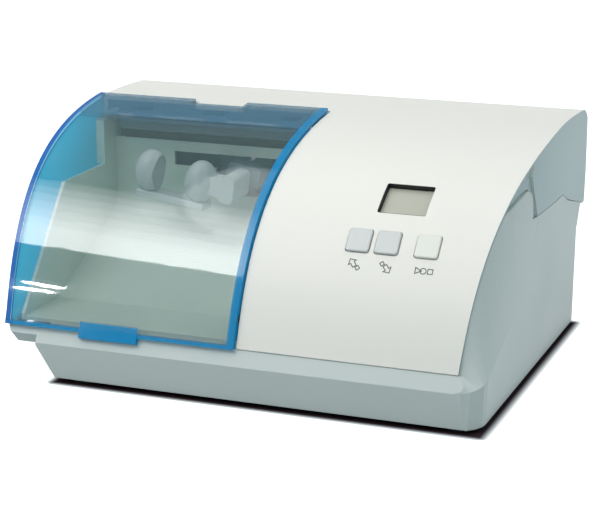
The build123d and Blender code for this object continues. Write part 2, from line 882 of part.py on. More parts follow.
def chamber_tray():
    top, bottom = tray_line(0), tray_line(tray_wall)
    ends = Line(top @ 0, bottom @ 0).edges() + Line(top @ 1, bottom @ 1).edges()
    right = tray_right()
    body = along_x(make_face(top.edges() + bottom.edges() + ends), tray_left - tray_wall, right + tray_wall)
    outside = back_wall + tray_wall
    post_rear = side_rear + post_depth
    left = [(tray_front, tray_floor - tray_wall), (tray_front, tray_floor + sill_height), side_knee,
            (side_rear, side_knee[1]), (side_rear, overall_depth), (post_rear, overall_depth),
            (post_rear, hinge_z - 2 * rod_radius - post_width), (outside, back_height - post_depth),
            (outside, tray_floor - tray_wall)]
    body += side_prism(left, tray_left - tray_wall, tray_left) & envelope(post_rise, 0)
    body += block((tray_left - post_width, side_rear, side_knee[1]),
                  (tray_left, post_rear, overall_depth)) & envelope(post_rise, 0)
    wall = block((right, tray_front, tray_floor - tray_wall), (right + tray_wall, post_rear, overall_depth))
    body += wall & envelope(cover_wall + seam_gap, 0)
    body += block((tub_left_top + 2 * casing_wall, tray_front, tray_floor - tray_wall - lip_depth),
                  (right + tray_wall, tray_front + tray_wall, tray_floor))
    under = make_face(bottom.edges() + Polyline(bottom @ 1, ((bottom @ 1).X, boss_join),
                                                (tray_front, boss_join),
                                                bottom @ 0).edges())
    below = along_x(under, tray_left, right)
    for x, y in tray_posts:
        boss = rod_z(boss_radius, boss_join, overall_depth, x, y) & below
        body += boss - rod_z(case_screw + thread_gap, boss_join, boss_join + margin, x, y)
    for reach, foot in ((slot_left_reach, slot_foot), (notch_reach, notch_base)):
        body -= block((hub_x - reach, back_wall - 1, foot), (hub_x + slot_right_reach, outside + 1, slot_top))
    return body - rod_x(rod_radius, tray_left - post_width + 1, right + tray_wall, hinge_y, hinge_z)


def hinge_rod():
    return rod_x(rod_radius, tray_left - post_width + 1, tray_right() + tray_wall, hinge_y, hinge_z)


def lid_magnet():
    y, z = magnet_seat()
    return rod_x(magnet_radius, lid_right - magnet_thickness, lid_right, y, z)


def lid_sensor():
    """Reed switch on the far side of the chamber's right wall."""
    y, z = magnet_seat()
    x = tray_right() + tray_wall
    body = block((x, y - magnet_radius, z - 3 * magnet_radius),
                 (x + 2 * magnet_radius, y + magnet_radius, z + magnet_radius))
    return body & envelope(cover_wall + seam_gap, 0)


# Display and keys


def lcd_lens():
    size = (lcd_width + 2 * lens_border, lcd_height + 2 * lens_border)
    return on_panel(lcd_plane(), size, -lens_drop - lens_thickness, -lens_drop)


def lcd_glass():
    size = (lcd_width + 4 * lens_border, lcd_height + 3 * lens_border)
    return on_panel(lcd_plane(), size, display_back(), display_back() + glass_thickness)


def drilled_board(plane, size, front):
    """A circuit board on the panel, with a hole at each corner."""
    board = on_panel(plane, size, front - board_thickness, front)
    for u, v in corners_of(size, standoff_radius):
        board -= pin_on_panel(plane, small_screw + screw_gap, front - margin, front + margin, u, v)
    return board


def board_screws(plane, size, front):
    """Screws that hold a board to the cover from inside."""
    screws = []
    back = front - board_thickness
    for u, v in corners_of(size, standoff_radius):
        head = pin_on_panel(plane, small_head, back - small_head_height, back, u, v)
        screws.append(head + pin_on_panel(plane, small_screw, back, front + board_screw_reach, u, v))
    return screws


def tact_switches():
    """One small switch body under each key, with a well for its plunger."""
    front = key_board_front()
    well = -switch_drop - 2 * seat_gap - key_travel
    bodies = []
    for name in key_centres:
        u = key_shift(name)
        body = on_panel(key_plane(), (switch_size, switch_size), front, front + switch_height, u)
        bodies.append(body - pin_on_panel(key_plane(), stem_radius + screw_gap, well, front + margin, u, 0))
    return Compound(bodies)


def key_cap(name):
    """A key with its collar under the cover and its stem in the switch."""
    u = key_shift(name)
    plane = key_plane()
    collar_top = -key_flange_drop
    collar_foot = collar_top - key_flange_thickness
    cap = on_panel(plane, (key_width, key_height), collar_foot, key_proud, u, corner=key_corner)
    rim = [e for e in cap.edges() if plane.to_local_coords(e.center()).Z > key_proud - 0.1]
    cap = fillet(rim, key_corner / 2)
    wide = (key_width + 2 * key_flange, key_height + 2 * key_flange)
    cap += on_panel(plane, wide, collar_foot, collar_top, u, corner=key_corner)
    return cap + pin_on_panel(plane, stem_radius, -switch_drop - seat_gap, collar_foot, u, 0)


def ribbon_cable():
    """Flat cable from the display board down to the power board."""
    y, z, angle = curve_point(lcd_at)
    depth = -display_back() + board_thickness
    tilt = radians(angle)
    start = (y + sin(tilt) * depth, z - cos(tilt) * depth)
    bend = (start[0] + sin(tilt) * margin, start[1] - cos(tilt) * margin)
    far = power_board_at[1] + power_board[1] / 6
    foot = power_board_height + board_thickness
    route = [start, bend, (far - margin, foot + ribbon_knees[0]), (far, foot + ribbon_knees[1]), (far, foot)]
    upper = FilletPolyline(*route, radius=lead_bend)
    lower = FilletPolyline(*parallel(route, ribbon_thickness), radius=lead_bend)
    ends = Line(upper @ 0, lower @ 0).edges() + Line(upper @ 1, lower @ 1).edges()
    return along_x(make_face(upper.edges() + lower.edges() + ends), lcd_x, lcd_x + margin)


# Motor


def motor_can():
    back = motor_face + motor_length
    can = rod_x(motor_radius, motor_face, back, motor_y, motor_z)
    can -= rod_x(motor_radius - can_wall, motor_face + can_wall, back, motor_y, motor_z)
    can += rod_x(neck_radius, motor_face - neck_length, motor_face + can_wall, motor_y, motor_z)
    can -= rod_x(bush_radius, motor_face - neck_length - 1, motor_face + can_wall + 1, motor_y, motor_z)
    for y, z in face_screws():
        can -= rod_x(case_screw + thread_gap, motor_face - 1, motor_face + can_wall + 1, y, z)
    return can


def face_screws():
    """Screws through the bracket into the motor's face."""
    r = motor_bolt_circle / 2
    return [(motor_y + r * cos(radians(a)), motor_z + r * sin(radians(a))) for a in (45, 135, 225, 315)]


def motor_bell():
    front = motor_face + motor_length
    bell = rod_x(motor_radius, front, front + bell_length, motor_y, motor_z)
    bell -= rod_x(motor_radius - 2 * can_wall, front, front + bell_length - 2 * can_wall, motor_y, motor_z)
    bell += rod_x(bush_radius + 2 * can_wall, front + bell_length - bush_length, front + bell_length,
                  motor_y, motor_z)
    return bell - rod_x(bush_radius, front - 1, front + bell_length + 1, motor_y, motor_z)


def shaft_bushes():
    """A sleeve bush at each end of the motor."""
    back = motor_face + motor_length + bell_length
    bushes = []
    for start in (motor_face - neck_length, back - bush_length):
        bush = rod_x(bush_radius, start, start + bush_length, motor_y, motor_z)
        bushes.append(bush - rod_x(shaft_radius + run_gap, start - 1, start + bush_length + 1,
                                   motor_y, motor_z))
    return Compound(bushes)


def magnets():
    """Two arc magnets inside the can."""
    low = motor_face + can_wall + margin / 2
    ring = rod_x(motor_radius - can_wall, low, low + armature_length, motor_y, motor_z)
    ring -= rod_x(motor_radius - can_wall - magnet_ring, low, low + armature_length, motor_y, motor_z)
    gap = block((low, motor_y - motor_radius, motor_z - margin),
                (low + armature_length, motor_y + motor_radius, motor_z + margin))
    return ring - gap


def armature_start():
    return motor_face + can_wall + margin / 2


def armature():
    low = armature_start()
    core = rod_x(armature_radius, low, low + armature_length, motor_y, motor_z)
    for k in range(3):
        slot = block((low, -1.5, armature_radius - 5), (low + armature_length, 1.5, armature_radius + 1))
        core -= Pos(0, motor_y, motor_z) * Rot(120 * k, 0, 0) * slot
    return core - rod_x(shaft_radius, low, low + armature_length, motor_y, motor_z)


def commutator():
    low = armature_start() + armature_length
    ring = rod_x(commutator_radius, low, low + commutator_length, motor_y, motor_z)
    return ring - rod_x(shaft_radius, low, low + commutator_length, motor_y, motor_z)


def brush_gear():
    """A ring inside the can's rear with two brushes on the commutator."""
    back = motor_face + motor_length
    low = armature_start() + armature_length + commutator_length + 1
    ring = rod_x(motor_radius - can_wall, low, back, motor_y, motor_z)
    ring -= rod_x(commutator_radius + 2, low, back, motor_y, motor_z)
    middle = low - 1 - commutator_length / 2
    for side in (-1, 1):
        near = motor_y + side * (commutator_radius + seat_gap)
        far = motor_y + side * (commutator_radius + 2 * brush_size)
        ys = sorted((near, far))
        ring += block((middle - brush_size / 2, ys[0], motor_z - brush_size / 2),
                      (middle + brush_size / 2, ys[1], motor_z + brush_size / 2))
        ys = sorted((motor_y + side * (commutator_radius + brush_size), far))
        ring += block((middle - brush_size / 2, ys[0], motor_z - brush_size / 2),
                      (low + 1, ys[1], motor_z + brush_size / 2))
    return ring


def rotor_shaft():
    tip = hub_x - hub_length / 2 - 2
    end = motor_face + motor_length + bell_length + fan_gap + fan_length + 2
    return rod_x(shaft_radius, tip, end, motor_y, motor_z)


def cooling_fan():
    low = motor_face + motor_length + bell_length + fan_gap
    hub = rod_x(2 * shaft_radius, low, low + fan_length, motor_y, motor_z)
    hub += rod_x(fan_radius, low, low + fan_blade_wall, motor_y, motor_z)
    for k in range(fan_blades):
        blade = block((low, -fan_blade_wall / 2, shaft_radius + 2),
                      (low + fan_length, fan_blade_wall / 2, fan_radius))
        hub += Pos(0, motor_y, motor_z) * Rot(360 * k / fan_blades, 0, 0) * blade
    return hub - rod_x(shaft_radius, low - 1, low + fan_length + 1, motor_y, motor_z)


def motor_bracket():
    """Upright plate on the motor's face, its foot on the dampers, and a shelf for the spring."""
    front, back = motor_y - bracket_depth / 2, motor_y + bracket_depth / 2
    low, high = motor_face - bracket_wall, motor_face
    top = motor_z + motor_radius
    notch = hinge_y + hypot(lid_rear - hinge_y, margin) + 3 * seat_gap
    side = [(front, flange_height), (back, flange_height), (back, top), (notch, top),
            (notch, motor_z + bush_radius), (front, motor_z - motor_radius)]
    plate = side_prism(side, low, high)
    plate -= rod_x(neck_radius + run_gap, low - 1, high + 1, motor_y, motor_z)
    for y, z in face_screws():
        plate -= rod_x(case_screw + screw_gap, low - 1, high + 1, y, z)
    plate += block((low, front, flange_height), (high + bracket_flange, back, flange_height + bracket_wall))
    for x, y in bracket_places():
        plate -= rod_z(bracket_screw + screw_gap, flange_height - 1, flange_height + bracket_wall + 1, x, y)
    shelf = spring_shelf()
    plate += block((hub_x - 2 * spring_coil, motor_y - 2 * spring_coil, shelf - bracket_wall),
                   (low, motor_y + 2 * spring_coil, shelf))
    return plate


def spring_shelf():
    return flange_height + 3 * bracket_wall


def dampers():
    """Rubber rings between the casing's posts and the bracket."""
    rings = []
    for x, y in bracket_places():
        ring = rod_z(damper_radius, flange_height - damper_height, flange_height, x, y)
        rings.append(ring - rod_z(bracket_screw + screw_gap, 0, 2 * flange_height, x, y))
    return Compound(rings)


def bracket_screws():
    top = flange_height + bracket_wall
    screws = []
    for x, y in bracket_places():
        shank = rod_z(bracket_screw, casing_wall + 1, top, x, y)
        screws.append(shank + rod_z(bracket_head, top, top + case_head_height, x, y))
    return Compound(screws)


def motor_face_screws():
    low = motor_face - bracket_wall
    screws = []
    for y, z in face_screws():
        shank = rod_x(case_screw, low, motor_face + can_wall + 1, y, z)
        screws.append(shank + rod_x(case_head, low - case_head_height, low, y, z))
    return Compound(screws)


# Shaker


def at_hub(shape):
    """A piece drawn square about the hub centre, set at the hub's slant."""
    return Pos(hub_x, motor_y, motor_z) * Rot(0, oblique, 0) * shape


def drum(radius, length):
    """A round bar along X, centred."""
    return rod_x(radius, -length / 2, length / 2, 0, 0)


def oblique_hub():
    sleeve = rod_x(hub_radius, hub_x - hub_length / 2, hub_x + hub_length / 2, motor_y, motor_z)
    body = sleeve + at_hub(drum(journal_radius, journal_length))
    return body - rod_x(shaft_radius, hub_x - hub_length, hub_x + hub_length, motor_y, motor_z)


def wobble_ball():
    ball = Sphere(ball_radius) & drum(ball_radius + 1, ball_width)
    return at_hub(ball - drum(journal_radius, 2 * ball_width))


def arm_lug():
    """Height under the hub at which the spring hooks on."""
    return ring_radius + block_lift


def shaker_arm():
    ring = drum(ring_radius, ball_width)
    lug = rod_z(spring_coil, -arm_lug(), -ring_radius + 2, 0, 0)
    lever = block((-arm_width / 2, -block_back, -arm_height / 2),
                  (arm_width / 2, -ring_radius + 3, arm_height / 2))
    end = block((-block_width / 2, -block_front, block_lift - block_height / 2),
                (block_width / 2, -block_back, block_lift + block_height / 2))
    end = fillet(end.edges().filter_by(Axis.Y), 2)
    arm = ring + lug + lever + end - Sphere(ball_radius + ball_gap)
    socket = block((-tang[0] / 2 - run_gap, -block_front - 1, block_lift - tang[1] / 2 - run_gap),
                   (tang[0] / 2 + run_gap, -block_back - 2, block_lift + tang[1] / 2 + run_gap))
    arm -= socket
    return at_hub(arm - fork_pin_bar(run_gap))


def fork_pin_bar(gap):
    """The cross pin through block and tang, or its hole."""
    middle = -(block_front + block_back + 2) / 2
    reach = block_height / 2 - 0.5 if gap == 0 else block_height
    return rod_z(case_screw + gap, block_lift - reach, block_lift + reach, 0, middle)


def fork_pin():
    return at_hub(fork_pin_bar(0))


def egg():
    return scale(Sphere(1), by=cup_radii)


def near_cup():
    """The right hand cup, whole, with a pocket for the capsule's end."""
    cup = egg() - rod_x(cup_cavity, -cup_radii[0] - 1, cup_depth - cup_radii[0], 0, 0)
    return Pos(-right_cup, -fork_reach, 0) * cup


def far_cup():
    """The left hand cup, open towards the capsule and split into two claws."""
    size = 2 * cup_radii[2]
    cup = egg() & block((-size, -size, -size), (cup_face, size, size))
    cup -= Pos(cup_face, 0, 0) * Sphere(left_bowl)
    cup -= rod_x(cup_cavity, cup_face - cup_depth, cup_face + 1, 0, 0)
    slit = block((-size, -size, -claw_split / 2), (cup_face - cup_depth, size, claw_split / 2))
    return Pos(-left_cup, -fork_reach, 0) * (cup - Rot(claw_turn, 0, 0) * slit)


def capsule_fork():
    front, back = -fork_reach - stem_depth / 2, -fork_reach + stem_depth / 2
    stem = block((-stem_width / 2, front, -stem_height / 2),
                 (stem_width / 2, -block_front - seat_gap, stem_height / 2))
    stem = fillet(stem.edges().filter_by(Axis.Y), stem_width / 3)
    neck = block((-right_cup, front, -neck_height / 2), (0, back, neck_height / 2))
    neck -= rod_x(cup_cavity, -left_cup, cup_depth - cup_radii[0] - right_cup, -fork_reach, 0)
    root = block((-tang[0] / 2, -block_front - 1, block_lift - tang[1] / 2),
                 (tang[0] / 2, -block_back - 2 - seat_gap, block_lift + tang[1] / 2))
    low = -bridge_drop - bridge_thickness / 2
    bridge = block((-left_cup - cup_face, -fork_reach - bridge_depth / 2, low),
                   (-right_cup + cup_face, -fork_reach + bridge_depth / 2, low + bridge_thickness))
    bridge = fillet(bridge.edges().filter_by(Axis.X), bridge_thickness / 3)
    fork = stem + neck + root + bridge + near_cup() + far_cup()
    return at_hub(fork - fork_pin_bar(run_gap))


def restraint_spring():
    """Coil between the arm's lug and the bracket's shelf."""
    low, high = spring_shelf() + seat_gap, motor_z - arm_lug() * cos(radians(oblique)) - 2 * seat_gap
    lean = hub_x - arm_lug() * sin(radians(oblique))
    pitch = (high - low - 2 * spring_wire) / spring_turns
    path = Helix(pitch=pitch, height=pitch * spring_turns, radius=spring_coil - spring_wire)
    wire = sweep(Plane(origin=path @ 0, z_dir=path % 0) * Circle(spring_wire), path=path, is_frenet=True)
    return Pos(lean, motor_y, low + spring_wire) * wire


# Supply


def power_board_plate():
    w, d = power_board
    x, y = power_board_at
    low = power_board_height
    plate = block((x - w / 2, y - d / 2, low), (x + w / 2, y + d / 2, low + board_thickness))
    for hx, hy in board_places():
        plate -= rod_z(small_screw + screw_gap, low - 1, low + board_thickness + 1, hx, hy)
    return plate


def power_board_screws():
    top = power_board_height + board_thickness
    screws = []
    for x, y in board_places():
        shank = rod_z(small_screw, casing_wall + 1, top, x, y)
        screws.append(shank + rod_z(small_head, top, top + small_head_height, x, y))
    return Compound(screws)


def on_board(at, size):
    """A block standing on the power board, placed from the board's middle."""
    x, y = power_board_at[0] + at[0], power_board_at[1] + at[1]
    top = power_board_height + board_thickness
    return block((x - size[0] / 2, y - size[1] / 2, top), (x + size[0] / 2, y + size[1] / 2, top + size[2]))


def transformer():
    return (on_board(transformer_at, transformer_size)
            + Pos(0, 0, coil_lift) * on_board(transformer_at, coil_size))


def capacitors():
    x, y = power_board_at
    top = power_board_height + board_thickness
    return Compound([rod_z(capacitor_radius, top, top + capacitor_height, x + u, y + v)
                     for u, v in capacitors_at])


def heatsink():
    """An upright plate with the regulator that it cools."""
    beside = heatsink_at[0] + (heatsink_size[0] + regulator_size[0]) / 2
    return on_board(heatsink_at, heatsink_size) + on_board((beside, heatsink_at[1]), regulator_size)


def terminal_block():
    body = on_board(terminal_at, terminal_size)
    w, d, h = terminal_size
    top = power_board_height + board_thickness + h
    x, y = power_board_at[0] + terminal_at[0], power_board_at[1] + terminal_at[1]
    for k in (-1, 0, 1):
        body -= rod_z(terminal_screw, top - terminal_screw, top + 1, x + k * w / 3, y)
    return body


def mains_inlet():
    w, h = inlet_body
    back = casing_rear
    plate = block((inlet_x - inlet_plate[0] / 2, back, panel_z - inlet_plate[1] / 2),
                  (inlet_x + inlet_plate[0] / 2, back + inlet_plate_thickness, panel_z + inlet_plate[1] / 2))
    plate = fillet(plate.edges().filter_by(Axis.Y), plate_corner)
    body = plate + block((inlet_x - w / 2, back - inlet_depth, panel_z - h / 2),
                         (inlet_x + w / 2, back, panel_z + h / 2))
    sw, sh = inlet_socket
    mouth = back + inlet_plate_thickness
    body -= block((inlet_x - sw / 2, mouth - inlet_socket_depth, panel_z - sh / 2),
                  (inlet_x + sw / 2, mouth + 1, panel_z + sh / 2))
    for side in (-1, 1):
        body -= rod_y(case_screw + screw_gap, back - 1, mouth + 1, inlet_x + side * inlet_screws / 2, panel_z)
    return body


def inlet_pins():
    """Three contact blades standing in the socket."""
    root = casing_rear + inlet_plate_thickness - inlet_socket_depth
    w, reach, h = blade_size
    blades = []
    for x, z in blade_places:
        blades.append(block((inlet_x + x - w / 2, root, panel_z + z - h / 2),
                            (inlet_x + x + w / 2, root + reach, panel_z + z + h / 2)))
    return Compound(blades)


def inlet_screw_pair():
    mouth = casing_rear + inlet_plate_thickness
    screws = []
    for side in (-1, 1):
        x = inlet_x + side * inlet_screws / 2
        shank = rod_y(case_screw, casing_rear - casing_wall - 2, mouth, x, panel_z)
        screws.append(shank + rod_y(case_head, mouth, mouth + case_head_height, x, panel_z))
    return Compound(screws)


def rocker_housing():
    w, h = rocker_cut
    fw, fh = rocker_frame
    back = casing_rear
    body = block((rocker_x - w / 2, back - rocker_depth, panel_z - h / 2),
                 (rocker_x + w / 2, back, panel_z + h / 2))
    body += block((rocker_x - fw / 2, back, panel_z - fh / 2),
                  (rocker_x + fw / 2, back + rocker_bezel, panel_z + fh / 2))
    rw, rh = rocker_size()
    gap = rocker_gap
    body -= block((rocker_x - rw / 2 - gap, back - rocker_depth / 2, panel_z - rh / 2 - 2 * gap),
                  (rocker_x + rw / 2 + gap, back + margin, panel_z + rh / 2 + 2 * gap))
    return body - rocker_pivot(run_gap)


def rocker_size():
    """Width and height of the rocker, inside its housing."""
    return rocker_cut[0] - 2 * rocker_wall, rocker_cut[1] - 2 * rocker_wall - rocker_gap


def rocker_pivot(gap):
    """The rocker's cross pin, or the hole that it turns in."""
    reach = rocker_cut[0] / 2 - rocker_gap
    return rod_x(pivot_radius + gap, rocker_x - reach - gap, rocker_x + reach + gap,
                 casing_rear - pivot_depth, panel_z)


def power_rocker():
    rw, rh = rocker_size()
    root = rh / 2 - rocker_wall
    side = [(-rocker_root, -root), (-rocker_root, root), (rocker_face, rh / 2),
            (rocker_face - rocker_dish, 0),
            (rocker_face, -rh / 2)]
    paddle = Rot(rocker_tilt, 0, 0) * side_prism(side, -rw / 2, rw / 2)
    return Pos(rocker_x, casing_rear - pivot_depth, panel_z) * paddle + rocker_pivot(0)


def fuse_holder():
    body = rod_y(fuse_radius, casing_rear - fuse_depth, casing_rear, fuse_x, panel_z)
    body += rod_y(fuse_cap_radius + 1, casing_rear, casing_rear + rocker_bezel, fuse_x, panel_z)
    bore = fuse_radius - fuse_wall
    return body - rod_y(bore, casing_rear - fuse_depth / 2, casing_rear + margin, fuse_x, panel_z)


def fuse_cap():
    face = casing_rear + rocker_bezel
    top = casing_rear + fuse_cap_reach
    cap = rod_y(fuse_cap_radius - 1, face, top, fuse_x, panel_z)
    cap += rod_y(fuse_radius - fuse_wall - run_gap, casing_rear - fuse_depth / 2 + 1, face, fuse_x, panel_z)
    w, deep, h = fuse_slot
    return cap - block((fuse_x - w / 2, top - deep, panel_z - h / 2),
                       (fuse_x + w / 2, top + 1, panel_z + h / 2))


def lead(points):
    """A round wire along straight runs joined by arcs."""
    path = FilletPolyline(*points, radius=lead_bend)
    return sweep(Plane(origin=path @ 0, z_dir=path % 0) * Circle(lead_radius), path=path)


def mains_leads():
    """Two wires from the inlet's tabs to the terminal block."""
    tail = casing_rear - inlet_depth
    mouth = power_board_at[1] + terminal_at[1] + terminal_size[1] / 2
    height = power_board_height + board_thickness + terminal_size[2] / 2
    wires = []
    for k in (-1, 1):
        start = inlet_x + k * lead_spread
        end = power_board_at[0] + terminal_at[0] + k * terminal_size[0] / 3
        wires.append(lead([(start, tail, panel_z), (start, tail - margin, panel_z),
                           (end, mouth + margin, height),
                           (end, mouth, height)]))
    return Compound(wires)


def motor_leads():
    """Two wires from the motor's rear end to the power board."""
    x = motor_face + motor_length + bell_length / 2
    top = power_board_height + board_thickness
    bx = power_board_at[0] - power_board[0] / 2 + lead_spread
    by = power_board_at[1] + power_board[1] / 2 - margin - 2
    wires = []
    for k in (0, 1):
        aside = k * (lead_spread - 1)
        y = motor_y - aside
        low = motor_z - sqrt(motor_radius**2 - aside**2)
        wires.append(lead([(x, y, low - lead_radius), (x, y, low - margin),
                           (bx, by - aside + 2 * lead_bend, top + margin), (bx, by - aside, top + margin),
                           (bx, by - aside, top)]))
    return Compound(wires)


# Feet and screws of the housing


def rubber_feet():
    feet = []
    for x, y in foot_places:
        foot = rod_z(foot_radius, -foot_height, 0, x, y)
        foot -= rod_z(case_screw + screw_gap, -foot_height, 0, x, y)
        feet.append(foot - rod_z(case_head + screw_gap, -foot_height, -foot_seat, x, y))
    return Compound(feet)


def foot_screws():
    screws = []
    for x, y in foot_places:
        shank = rod_z(case_screw, -foot_seat, foot_boss - 2, x, y)
        screws.append(shank + rod_z(case_head, -foot_seat - foot_head, -foot_seat, x, y))
    return Compound(screws)


def case_screws(places):
    """Screws from under the casing up into the bosses."""
    screws = []
    for x, y in places:
        shank = rod_z(case_screw, head_recess, boss_join + margin - 1, x, y)
        screws.append(shank + rod_z(case_head, head_recess - case_head_height, head_recess, x, y))
    return Compound(screws)


def rear_screws():
    seat = rear_face(rear_screw_z) - small_head_height
    screws = []
    for x in rear_screw_x:
        shank = rod_y(case_screw, casing_rear - rear_boss_depth + 2, seat, x, rear_screw_z)
        screws.append(shank + rod_y(case_head, seat, seat + foot_head, x, rear_screw_z))
    return Compound(screws)


def build():
    keep("lower_casing", lower_casing())
    keep("upper_cover", upper_cover())
    keep("rubber_feet", rubber_feet())
    keep("foot_screws", foot_screws())
    keep("cover_screws", case_screws(cover_posts))
    keep("tray_screws", case_screws(tray_posts))
    keep("rear_screws", rear_screws())
    keep("chamber_tray", chamber_tray())
    keep("lid", lid())
    keep("hinge_rod", hinge_rod())
    keep("lid_magnet", lid_magnet())
    keep("lid_sensor", lid_sensor())
    keep("lcd_lens", lcd_lens())
    keep("lcd_glass", lcd_glass())
    keep("display_board", drilled_board(lcd_plane(), display_board, display_back()))
    keep("key_board", drilled_board(key_plane(), key_board, key_board_front()))
    screws = board_screws(lcd_plane(), display_board, display_back())
    screws += board_screws(key_plane(), key_board, key_board_front())
    keep("panel_screws", Compound(screws))
    keep("tact_switches", tact_switches())
    for name in key_centres:
        keep(name, key_cap(name))
    keep("ribbon_cable", ribbon_cable())
    keep("motor_can", motor_can())
    keep("motor_bell", motor_bell())
    keep("motor_magnets", magnets())
    keep("shaft_bushes", shaft_bushes())
    keep("brush_gear", brush_gear())
    keep("motor_bracket", motor_bracket())
    keep("motor_dampers", dampers())
    keep("bracket_screws", bracket_screws())
    keep("motor_screws", motor_face_screws())
    keep("rotor_shaft", rotor_shaft())
    keep("armature", armature())
    keep("commutator", commutator())
    keep("cooling_fan", cooling_fan())
    keep("oblique_hub", oblique_hub())
    keep("wobble_ball", wobble_ball())
    keep("shaker_arm", shaker_arm())
    keep("capsule_fork", capsule_fork())
    keep("fork_pin", fork_pin())
    keep("restraint_spring", restraint_spring())
    keep("power_board", power_board_plate())
    keep("power_board_screws", power_board_screws())
    keep("transformer", transformer())
    keep("capacitors", capacitors())
    keep("heatsink", heatsink())
    keep("terminal_block", terminal_block())
    keep("mains_inlet", mains_inlet())
    keep("inlet_pins", inlet_pins())
    keep("inlet_screws", inlet_screw_pair())
    keep("rocker_housing", rocker_housing())
    keep("power_rocker", power_rocker())
    keep("fuse_holder", fuse_holder())
    keep("fuse_cap", fuse_cap())
    keep("mains_leads", mains_leads())
    keep("motor_leads", motor_leads())


build()
os.makedirs("parts", exist_ok=True)
for name, shape in pieces.items():
    export_step(shape, f"parts/{name}.step")
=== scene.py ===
# %% [markdown]
# # A capsule mixer, dressed for its portrait
#
# The mixer's housing, lid, fork and screws arrive as finished solids in one shared frame: metres,
# X to the user's right, Y to the back, Z up, with the table at zero. This notebook gives them their
# surfaces, adds what is printed or moulded on them, and sets up a small photo studio around them.

# %% Load the solids
import json
import math

import bmesh
import bpy
from mathutils import Matrix, Vector


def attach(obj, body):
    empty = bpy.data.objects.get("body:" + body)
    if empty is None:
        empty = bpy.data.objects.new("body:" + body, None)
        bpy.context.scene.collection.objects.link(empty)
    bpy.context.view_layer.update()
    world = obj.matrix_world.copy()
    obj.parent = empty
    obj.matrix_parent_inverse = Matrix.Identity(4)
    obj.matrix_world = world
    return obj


MM = 0.001
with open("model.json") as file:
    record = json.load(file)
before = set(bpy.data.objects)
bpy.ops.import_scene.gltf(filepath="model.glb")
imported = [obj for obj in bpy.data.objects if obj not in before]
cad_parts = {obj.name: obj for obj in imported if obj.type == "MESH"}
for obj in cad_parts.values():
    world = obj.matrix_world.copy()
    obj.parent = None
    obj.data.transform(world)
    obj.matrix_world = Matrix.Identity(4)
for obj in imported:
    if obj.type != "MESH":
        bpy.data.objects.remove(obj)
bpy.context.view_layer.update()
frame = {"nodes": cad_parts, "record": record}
nodes = frame["nodes"]
scene = bpy.context.scene

# %% [markdown]
# ## Where the camera stands
#
# A product photograph is usually taken with a long lens from some distance, so that parallel edges
# stay nearly parallel. The camera is placed by two angles about a target, as on a turntable: that is
# easier to read and to correct than three coordinates. It stands to the right of the mixer and a
# little above it.

# %% Camera
CAMERA_TARGET = Vector((3.13, -4.75, 54.9)) * MM
CAMERA_AZIMUTH = math.radians(21.1)
CAMERA_ELEVATION = math.radians(15.35)
CAMERA_ROLL = math.radians(-0.14)
CAMERA_DISTANCE = 1037.3 * MM
CAMERA_LENS = 113.9


def towards(azimuth, elevation):
    """A unit vector from the mixer, by its angle round from the front and its angle up."""
    level = math.cos(elevation)
    return Vector((math.sin(azimuth) * level, -math.cos(azimuth) * level, math.sin(elevation)))


def add_camera():
    """A long lens on the line from the target towards the viewer."""
    back = towards(CAMERA_AZIMUTH, CAMERA_ELEVATION)
    data = bpy.data.cameras.new("portrait_lens")
    data.lens = CAMERA_LENS
    data.sensor_width = 36.0
    camera = bpy.data.objects.new("portrait_camera", data)
    scene.collection.objects.link(camera)
    turn = (-back).to_track_quat("-Z", "Y").to_matrix() @ Matrix.Rotation(CAMERA_ROLL, 3, "Z")
    camera.matrix_world = Matrix.Translation(CAMERA_TARGET + back * CAMERA_DISTANCE) @ turn.to_4x4()
    scene.camera = camera
    return camera


camera = add_camera()
print("camera at", [round(c, 3) for c in camera.matrix_world.translation])

# %% [markdown]
# ## The mixer's own measures
#
# The front of the housing is one smooth curve in side view, carried across the whole width. What is
# printed on the panel has to follow that curve, so the curve's four control points are repeated
# here, in millimetres from the front of the tub and the underside of the casing. `place` turns such
# measures into the shared frame.

# %% Measures
HALF_DEPTH = 104.75
FOOT_HEIGHT = 2.5
HALF_WIDTH = 136.0
LEFT_FLARE = 10.2
FLARE_END = 140.0
FRONT_CURVE = [(4.1, 27.0), (20.5, 76.2), (47.1, 113.6), (134.6, 122.9)]
DISPLAY_AT = 0.6
DISPLAY_X = 78.0
DISPLAY_SIZE = (25.6, 20.8)
WINDOW_DEPTH = 3.4
SYMBOLS_AT = 0.33
SYMBOLS_X = {"up": 60.8, "down": 77.0, "start": 96.7}


def place(x, y, z):
    """A point given in the housing's millimetres, in the shared frame."""
    return Vector((x, y - HALF_DEPTH, z + FOOT_HEIGHT)) * MM


def front_point(at):
    """A point of the front curve, and the curve's speed there, in millimetres."""
    rest = 1 - at
    weights = (rest**3, 3 * rest * rest * at, 3 * rest * at * at, at**3)
    slopes = (-3 * rest * rest, 3 * rest * (rest - 2 * at), 3 * at * (2 * rest - at), 3 * at * at)
    spot = [sum(w * p[k] for w, p in zip(weights, FRONT_CURVE)) for k in (0, 1)]
    speed = [sum(s * p[k] for s, p in zip(slopes, FRONT_CURVE)) for k in (0, 1)]
    return spot, speed


def on_front(x, at, up, out=0.0):
    """A point on the curved front: so far along the curve from a station, and so far out of it."""
    speed = math.hypot(*front_point(at)[1])
    (y, z), (dy, dz) = front_point(at + up / speed)
    size = math.hypot(dy, dz)
    return place(x, y - out * dz / size, z + out * dy / size)


# %% [markdown]
# ## Formulas for materials
#
# A material in Blender is a graph of small nodes. Written out node by node, a formula such as
# `1 - mask * 0.3` takes a dozen lines, so a small class wraps one socket and lets Python's own
# operators add the Math nodes. Everything else goes through one method that takes a node's type,
# its settings and what its sockets receive.


